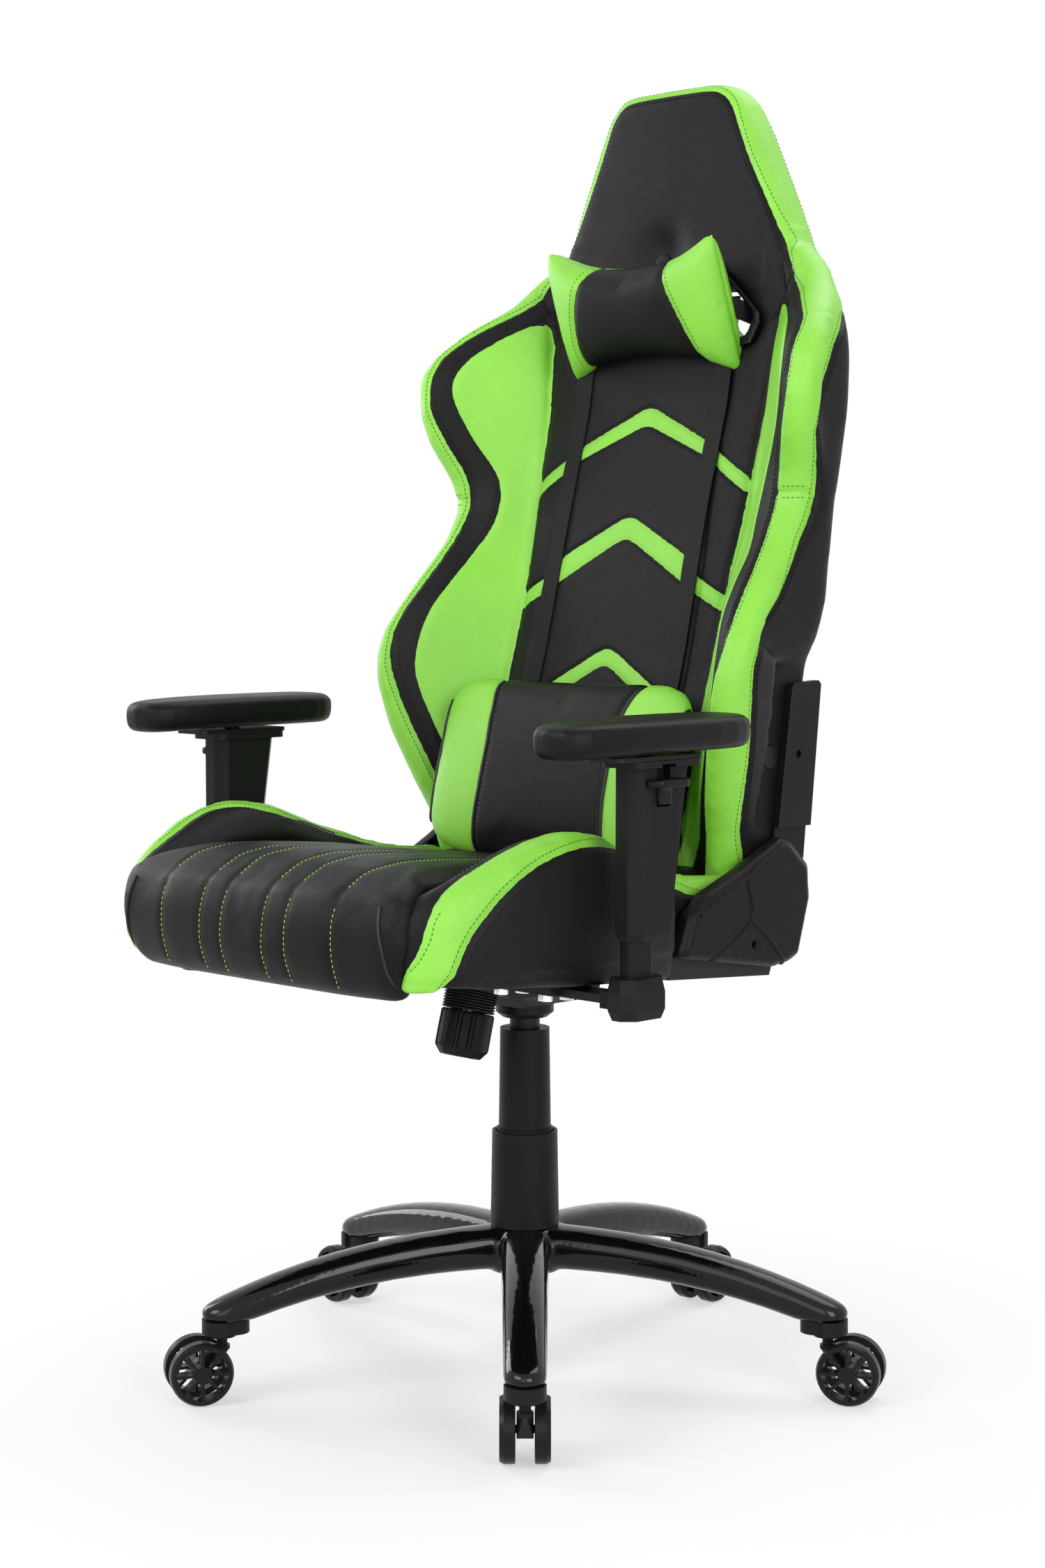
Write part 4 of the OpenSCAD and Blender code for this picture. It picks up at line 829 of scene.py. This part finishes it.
def backrest():
    obj = back_skin()
    edges = [f for pair in CHEVRONS for f in map(chevron_field, pair)]
    cut(obj, root_seam, inner_seam, rim_seam, band_seam, strip_seam, shoulder_seam, waist_seam, *edges)

    def colours(c, n):
        front = is_front(c, n)
        green = np.zeros(len(c), bool)
        for top, low in CHEVRONS:
            green |= (chevron_field(top)(c, n) < 0) & (chevron_field(low)(c, n) > 0) & front
        wing = front & (root_seam(c, n) > 0) & (inner_seam(c, n) < 0) & (c[:, 2] < 1.113)
        band = ((rim_seam(c, n) > 0) | ~front) & (band_seam(c, n) < 0)
        return ~(green | wing | band)
    paint(obj, colours)
    finer(obj)
    press(obj, root_seam, 0.0035, 0.0045)
    for seam in (inner_seam, rim_seam, band_seam, strip_seam):
        press(obj, seam, 0.0022, 0.0034)
    press(obj, waist_seam, 0.0014, 0.003)
    press(obj, shoulder_seam, 0.0016, 0.003)
    for e in edges:
        press(obj, e, 0.0014, 0.0026)

    def tuft(co, no):
        return np.where(is_front(co, no), np.hypot(co[:, 0], co[:, 2] - 1.168), 1)
    press(obj, tuft, 0.010, 0.026)
    place(obj, "backrest", "leather_black", "backrest_cushion", "back_wing_left", "back_wing_right",
          padded=0.85)
    tree = tree_of(obj)
    sew = sewing.sew
    for s in (1, -1):
        view = hand(s)
        rim = RIM_SEAM[RIM_SEAM[:, 1] > .54]
        sew("backrest", "thread_moss", lay(sided(shifted(rim, .0045), s), "front", tree))
        sew("backrest", "thread_black", lay(sided(shifted(rim, -.0055), s), "front", tree))
        rear = BAND_SEAM[(BAND_SEAM[:, 1] > .54) & (BAND_SEAM[:, 1] < 1.30)]
        sew("backrest", "thread_moss", lay(shifted(rear, -.006), view, tree))
        sew("backrest", "thread_black", lay(shifted(rear[rear[:, 1] < 1.12], .006), view, tree))
        for dz in (-.0055, .0055):
            a = np.arange(.253, .283, .003)
            joint = np.stack([a, WAIST + dz + 0 * a], 1)
            sew("backrest", "thread_moss", lay(joint, "diagonal_" + view, tree))
        z = np.arange(.56, 1.28, .004)
        sew("backrest", "thread_black", lay(np.stack([s * (panel_half(z) - .022), z], 1), "back", tree))
    for top, low in CHEVRONS:
        for line, off in ((top, 0.0035), (low, -0.0035)):
            run = resample(line + np.array([0, off]), .004)
            run = run[np.abs(run[:, 0]) < CHEVRON_STITCH]
            sew("backrest", "thread_black", lay(run, "front", tree), pitch=0.0052)
    x = np.arange(-.14, .14, .004)
    sew("backrest", "thread_black", lay(np.stack([x, 1.150 + 0 * x], 1), "back", tree))
    return tree


# ---------------------------------------------------------------- neck pillow, straps and lumbar cushion

def ring(x, half_d, half_h, y, z, lean, p=2.4, count=32):
    """A rounded rectangle across a cushion, half_d deep and half_h high, leaning back by lean."""
    c, s = math.cos(lean), math.sin(lean)
    out = []
    for j in range(count):
        a = 2 * math.pi * j / count
        d = half_d * abs(math.cos(a)) ** (2 / p) * math.copysign(1, math.cos(a))
        h = half_h * abs(math.sin(a)) ** (2 / p) * math.copysign(1, math.sin(a))
        out.append((x, y + d * c + h * s, z + h * c - d * s))
    return out


# Seam between the bright ends and the middle: (height, distance from the middle)
PILLOW_SEAM = curve_through([(1.03, .083), (1.075, .078), (1.125, .062), (1.18, .040)])
PILLOW_MID, PILLOW_LEAN = 1.1045, .35


def pillow_seam(co, no):
    return np.abs(co[:, 0]) - table(co[:, 2], *PILLOW_SEAM)


def pillow_rim(co, no):
    """Seam round the pillow between its front and its back."""
    return co[:, 1] - .1795 + (co[:, 2] - PILLOW_MID) * PILLOW_LEAN


def pillow():
    lean = math.atan(PILLOW_LEAN)
    rings = []
    for i in range(49):
        s = -1 + i / 24
        a = abs(s)
        h = .0455 + .0275 * a ** 2.6
        t = .0265 * (1 - a ** 4) ** 0.55 + .0035
        rings.append(ring(s * .1165, t, h, .1735 + .0045 * a ** 3, PILLOW_MID, -lean, 2.1 + .5 * a))
    obj = grow(melt(loft("neck_pillow_cover", rings, "black", "green"), 0.004, 3), .0022)
    puff(obj, 4, 0.0025, lambda co: co[:, 1] > back_front(co[:, 2]) - .012)
    cut(obj, pillow_seam, pillow_rim)
    paint(obj, lambda c, n: (pillow_seam(c, n) > 0) | (pillow_rim(c, n) > 0))
    finer(obj)
    press(obj, pillow_seam, 0.0026, 0.004)
    press(obj, pillow_rim, 0.0018, 0.0028)
    place(obj, "backrest", "leather_green", "neck_pillow", padded=0.75)
    tree = tree_of(obj)
    for s in (1, -1):
        z = np.arange(1.03, 1.18, .004)
        seam = np.stack([s * (table(z, *PILLOW_SEAM) + .006), z], 1)
        sewing.sew("backrest", "thread_moss", lay(seam, "front", tree))
        # Elastic band from the pillow's end into the slot
        strip = [(.108, .176, 1.102), (.1145, .186, 1.101), (.1145, .205, 1.098), (.108, .235, 1.094)]
        rows = []
        for k, c in enumerate(curve_through(strip, .0011)):
            thick = .0013 + .0006 * (k % 2)
            rows.append([(s * (c[0] + dx), c[1] + .2 * dx, c[2] + dz)
                         for dx, dz in ((-thick, -.010), (thick, -.010), (thick, .010), (-thick, .010))])
        place(loft(f"elastic_{hand(s)}", rows, "web"), "backrest", "webbing_black")
    front = back_front(1.15) - .004
    tab = [ring(x, .004, .016 * (1 - (x / .0125) ** 2) ** .5 + .001, front, 1.149, 0, 2.2, 24)
           for x in np.linspace(-.012, .012, 15)]
    place(finer(loft("pillow_button", tab, "black")), "backrest", "leather_black")


def straps(tree):
    """The lumbar cushion's straps, which lie on the flat panel up to the harness slots."""
    half = .0105
    for s in (1, -1):
        zs = np.arange(.70, 1.118, .006)
        mid = table(zs, (.70, .100), (.80, .099), (.90, .0975), (1.03, .0985), (1.12, .098))
        rows = []
        for z, x in zip(zs, mid):
            row = []
            for dx in (-half, 0, half):
                hit, _, _, _ = tree.ray_cast(Vector((s * (x + dx), -2, z)), Vector((0, 1, 0)))
                surface = back_front(z) - .002
                row.append(min(hit.y if hit is not None else surface, surface))
            y = min(row) - .0006
            rows.append([(s * x - half, y, z), (s * x - half, y - .0016, z), (s * x + half, y - .0016, z),
                         (s * x + half, y, z)])
        obj = loft(f"strap_{hand(s)}", rows, "web")
        place(obj, "backrest", "webbing_black", *(("cushion_straps",) if s > 0 else ()))


# Seam between the bright middle and the ends: (height, distance from the middle)
LUMBAR_SEAM = [(.54, .094), (.60, .090), (.65, .0895), (.69, .094), (.72, .104)]
LUMBAR_RIM = .1675


def lumbar_seam(co, no):
    return np.abs(co[:, 0]) - table(co[:, 2], *LUMBAR_SEAM)


def lumbar_end(co, no):
    return np.where(no[:, 1] < .6, np.abs(co[:, 0]) - LUMBAR_RIM, -.02)


def lumbar():
    low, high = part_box("lumbar_cushion")
    z0 = (low.z + high.z) / 2 - .007
    lean = math.atan(.2667)
    rings = []
    for i in range(61):
        s = -1 + i / 30
        a = abs(s)
        t = .029 * (1 - a ** 3.2) ** 0.42 * (1 - .20 * a ** 2) + .004
        h = .099 * (1 - .20 * a ** 6) * (1 - .12 * a ** 20)
        rings.append(ring(s * .172, t, h, .0575 - .009 * a ** 3, z0 + .006 * a ** 3, lean, 2.6, 40))
    obj = melt(loft("lumbar_cover", rings, "black", "green"), 0.006, 5)
    puff(obj, 4, 0.0025, lambda co: co[:, 1] > back_front(co[:, 2]) - .006)
    cut(obj, lumbar_seam, lumbar_end)
    paint(obj, lambda c, n: (lumbar_seam(c, n) > 0) & (lumbar_end(c, n) < 0))
    finer(obj)
    press(obj, lumbar_seam, 0.003, 0.005)
    place(obj, "backrest", "leather_black", "lumbar_cushion", padded=0.8)
    tree = tree_of(obj)
    for s in (1, -1):
        zz = np.arange(low.z - .012, high.z - .002, .003)
        x = table(zz, *LUMBAR_SEAM)
        for kind, at, lift, r in (("piping", x, .0005, .0019), ("rim", LUMBAR_RIM + 0 * zz, .0006, .0023)):
            for n, run in enumerate(lay(np.stack([s * at, zz], 1), "front", tree)):
                cord = tube(f"lumbar_{kind}_{hand(s)}_{n}", [p + q * lift for p, q in run], r, "piping")
                place(cord, "backrest", "leather_black")
        sewing.sew("backrest", "thread_black", lay(np.stack([s * (x - .007), zz], 1), "front", tree))


# ---------------------------------------------------------------- seat

def line_x(share, y):
    """A row of seat stitching: it draws in towards the rear."""
    return share * table(y, (-.38, 1.0), (-.30, 1.0), (.12, .72))


ROWS = [.030, .062, .124]


def seat_row(share):
    def field(co, no):
        return np.where(no[:, 2] > -.5, np.abs(co[:, 0]) - line_x(share, co[:, 1]), 1)
    return field


def seat_cushion():
    obj = soften("seat_cover", "seat_cushion", 0.006, 8, "black")
    grow(obj, 0.0035, lambda co, no: (no[:, 2] > .4) | (co[:, 1] < -.32))
    co, no = arrays(obj)
    nose = np.clip((-.318 - co[:, 1]) / .03, 0, 1)
    low = np.clip((.49 - co[:, 2]) / .04, 0, 1)
    co[:, 0] *= 1 + (.055 - .085 * low) * nose * np.clip(np.abs(co[:, 0]) / .18, 0, 1) ** 4
    co[:, 2] -= .009 * np.clip((-.30 - co[:, 1]) / .03, 0, 1) * np.clip((.485 - co[:, 2]) / .03, 0, 1)
    co[:, 2] += .005 * np.clip((co[:, 1] - .03) / .05, 0, 1) * np.clip((co[:, 2] - .47) / .02, 0, 1)
    set_points(obj, co)
    puff(obj, 4, 0.006, lambda co: (co[:, 2] < .475) & (co[:, 1] > -.32) | (co[:, 1] > .11))
    cut(obj, *[seat_row(r) for r in ROWS])
    finer(obj)
    for r in ROWS:
        press(obj, seat_row(r), 0.0013, 0.0045)
    place(obj, "seat", "leather_black", "seat_cushion", padded=0.8)
    tree = tree_of(obj)
    ys = np.arange(-.352, .115, .004)
    zs = np.arange(.452, .535, .004)
    for r in ROWS:
        for s in (1, -1):
            for line, view, size in ((np.stack([s * line_x(r, ys), ys], 1), "top", .0006),
                                     (np.stack([s * r + 0 * zs, zs], 1), "front", .0005)):
                sewing.sew("seat", "thread_green", lay(line, view, tree), pitch=.0052, r=size)
    for s in (1, -1):
        # Piping on the corner between the nose and the cushion's side
        rim = curve_through([(s * .189, .462), (s * .187, .49), (s * .182, .515), (s * .178, .533)], .003)
        runs = lay(rim, "front", tree)
        if runs:
            points = [p + q * .0003 for p, q in max(runs, key=len)]
            place(tube(f"seat_piping_{hand(s)}", points, .0016, "piping"), "seat", "leather_black")


# Seam between the green band and the black inner face, as distances from the middle. It rises round the
# bolster's front end, by height, and then runs along its top, by distance behind the column axis.
END_SEAM = curve_through([(.45, .183), (.47, .193), (.485, .207), (.505, .2155), (.53, .2195), (.56, .240),
                          (.60, .300)])
TOP_SEAM = curve_through([(-.35, .219), (-.30, .217), (-.225, .228), (-.16, .216), (-.08, .207), (0, .197),
                          (.13, .197)])


def bolster_inner(co, no):
    return np.abs(co[:, 0]) - np.minimum(table(co[:, 2], *END_SEAM), table(co[:, 1], *TOP_SEAM))


# Seam between the green band and the black outer side: (distance behind the column axis, height)
BAND_LOW = curve_through([(-.33, .43), (-.32, .478), (-.30, .517), (-.25, .559), (-.18, .579), (-.10, .566),
                          (-.01, .523), (.05, .509), (.14, .503)])


def bolster_outer(co, no):
    outer = np.abs(co[:, 0]) > .205
    return np.where(outer, line_distance(co[:, 1], co[:, 2], BAND_LOW), .02)


BAND_FOOT = .455


def bolsters():
    for side in (1, -1):
        name = hand(side)
        obj = soften(f"bolster_{name}", f"seat_bolster_{name}", 0.0055, 8, "black", "green")
        grow(obj, 0.003, lambda co, no: (no[:, 2] > .2) | (np.abs(co[:, 0]) > .21) & (co[:, 2] > .47))
        co, _ = arrays(obj)
        tip = np.clip((-.305 - co[:, 1]) / .025, 0, 1)
        co[:, 1] -= .003 * tip
        co[:, 0] -= side * .012 * tip * np.clip((.235 - np.abs(co[:, 0])) / .02, 0, 1)
        set_points(obj, co)
        puff(obj, 3, 0.004, lambda co: (co[:, 2] < .472) | (np.abs(co[:, 0]) < .196))
        cut(obj, bolster_inner, bolster_outer)
        paint(obj, lambda c, n: (bolster_inner(c, n) > 0) & (bolster_outer(c, n) > 0) & (c[:, 2] > BAND_FOOT))
        finer(obj)
        press(obj, bolster_inner, 0.0022, 0.004)
        press(obj, bolster_outer, 0.0022, 0.004)
        place(obj, "seat", "leather_green", f"seat_bolster_{name}", padded=0.85)
        tree = tree_of(obj)
        low = BAND_LOW[BAND_LOW[:, 1] > .452]
        for off, colour in ((-.006, "thread_moss"), (.007, "thread_black")):
            sewing.sew("seat", colour, lay(shifted(low, off), name, tree))
        ys = np.arange(-.30, .12, .004)
        x = table(ys, *TOP_SEAM)
        for off, colour in ((.006, "thread_moss"), (-.007, "thread_black")):
            sewing.sew("seat", colour, lay(np.stack([side * (x + off), ys], 1), "top", tree))
        zs = np.arange(.475, .532, .003)
        x = table(zs, *END_SEAM)
        sewing.sew("seat", "thread_moss", lay(np.stack([side * (x + .006), zs], 1), "front", tree))


# ---------------------------------------------------------------- hard parts

def arm_pads():
    for name in ("left", "right"):
        obj = finer(soften(f"pad_{name}", f"arm_pad_{name}", 0.003, 3, "pad"))
        place(obj, f"pad_{name}", "foam_black", f"arm_pad_{name}", padded=0.95)


def arm_buttons():
    for name in ("left", "right"):
        obj = soften(f"button_{name}", f"arm_button_{name}", 0.0018, 10, "knob")
        place(finer(obj), f"arm_button_{name}", "plastic_black", f"arm_button_{name}")


def knob():
    """Fluted knob: twelve faces, each with a groove on either side, and a chamfered foot."""
    low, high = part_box("tension_knob")
    lean = math.radians(15)
    cy, cz = (low.y + high.y) / 2, (low.z + high.z) / 2
    radius, sides, steps = .0285, 12, 24
    # The profile from the stem end down: (distance along the axis, share of the radius, depth of the grooves)
    profile = ((-.0225, .02, 0), (-.0225, .80, 0), (-.0222, .93, .3), (-.021, .97, .6), (-.019, .985, 1),
               (0, .99, 1), (.013, .99, 1), (.0155, .975, .8), (.0205, .83, .4), (.0228, .77, .2),
               (.0238, .71, 0), (.0240, .60, 0), (.0225, .56, 0), (.0225, .02, 0))
    rings = []
    for t, scale, groove in profile:
        rows = []
        for i in range(sides * steps):
            a = 2 * math.pi * i / (sides * steps)
            turn = i / steps % 1 - .5
            r = radius * scale * math.cos(math.pi / sides) / math.cos(turn * 2 * math.pi / sides)
            r -= .0013 * groove * math.exp(-((abs(turn) - .34) / .05) ** 2)
            y = r * math.sin(a)
            rows.append((r * math.cos(a), cy - t * math.sin(lean) + y * math.cos(lean),
                         cz - t * math.cos(lean) - y * math.sin(lean)))
        rings.append(rows)
    place(loft("knob_fluted", rings, "knob"), "tension_knob", "plastic_black", "tension_knob")


def base():
    obj = soften("base_legs", "star_base", 0.0032, 22, "gloss")
    grow(obj, 0.0011)
    place(obj, "base", "steel_gloss", "star_base")


def covers():
    """Recliner covers with rounded edges and raised lines, which meet at an upper and a lower bend."""
    upper, lower = (.067, .532), (.069, .488)
    lines = [[(.118, .560), upper, lower, (.006, .448)], [lower, (.090, .473), (.1235, .439)],
             [upper, (-.006, .4985)]]
    for name in ("left", "right"):
        cover = finer(soften(f"cover_{name}", f"recliner_cover_{name}", 0.0022, 7, "plastic"))
        place(cover, "seat", "plastic_black", f"recliner_cover_{name}")
        tree = tree_of(cover)
        for n, line in enumerate(lines):
            for k, run in enumerate(lay(curve_through(line, .003), name, tree)):
                points = [p - q * .0008 for p, q in run]
                bead = tube(f"cover_ridge_{name}_{n}_{k}", points, .0026, "plastic", 8)
                place(bead, "seat", "plastic_black")


FINISH = {
    "satin": ["gas_tube", "gas_piston", "tilt_housing", "tension_spring", "height_lever", "seat_plate",
              "seat_frame", "arm_brackets", "recliner_plates", "pad_slider_left", "pad_slider_right",
              "back_frame"],
    "zinc": ["tension_bolt", "mechanism_pins", "seat_bolts", "recline_shaft"],
    "knob": ["recline_lever"],
    "plastic": ["column_cover_lower", "column_cover_upper", "arm_post_left", "arm_post_right",
                "arm_sleeve_left", "arm_sleeve_right", "back_brackets", "caster_sockets"],
    "wheel": [n for n in NODES if n.startswith("caster_wheel")],
}
FINISH["knob"] += [n for n in NODES if n.startswith("caster_housing")]


def finishes():
    """Gives the CAD nodes that stay their materials."""
    for key, names in FINISH.items():
        for name in names:
            slots = NODES[name].data.materials
            if len(slots) == 0:
                slots.append(M[key])
            for i in range(len(slots)):
                slots[i] = M[key]


panel_tree = backrest()
slot_rings()
pillow()
straps(panel_tree)
lumbar()
seat_cushion()
bolsters()
arm_pads()
arm_buttons()
knob()
base()
covers()
finishes()
sewing.finish()
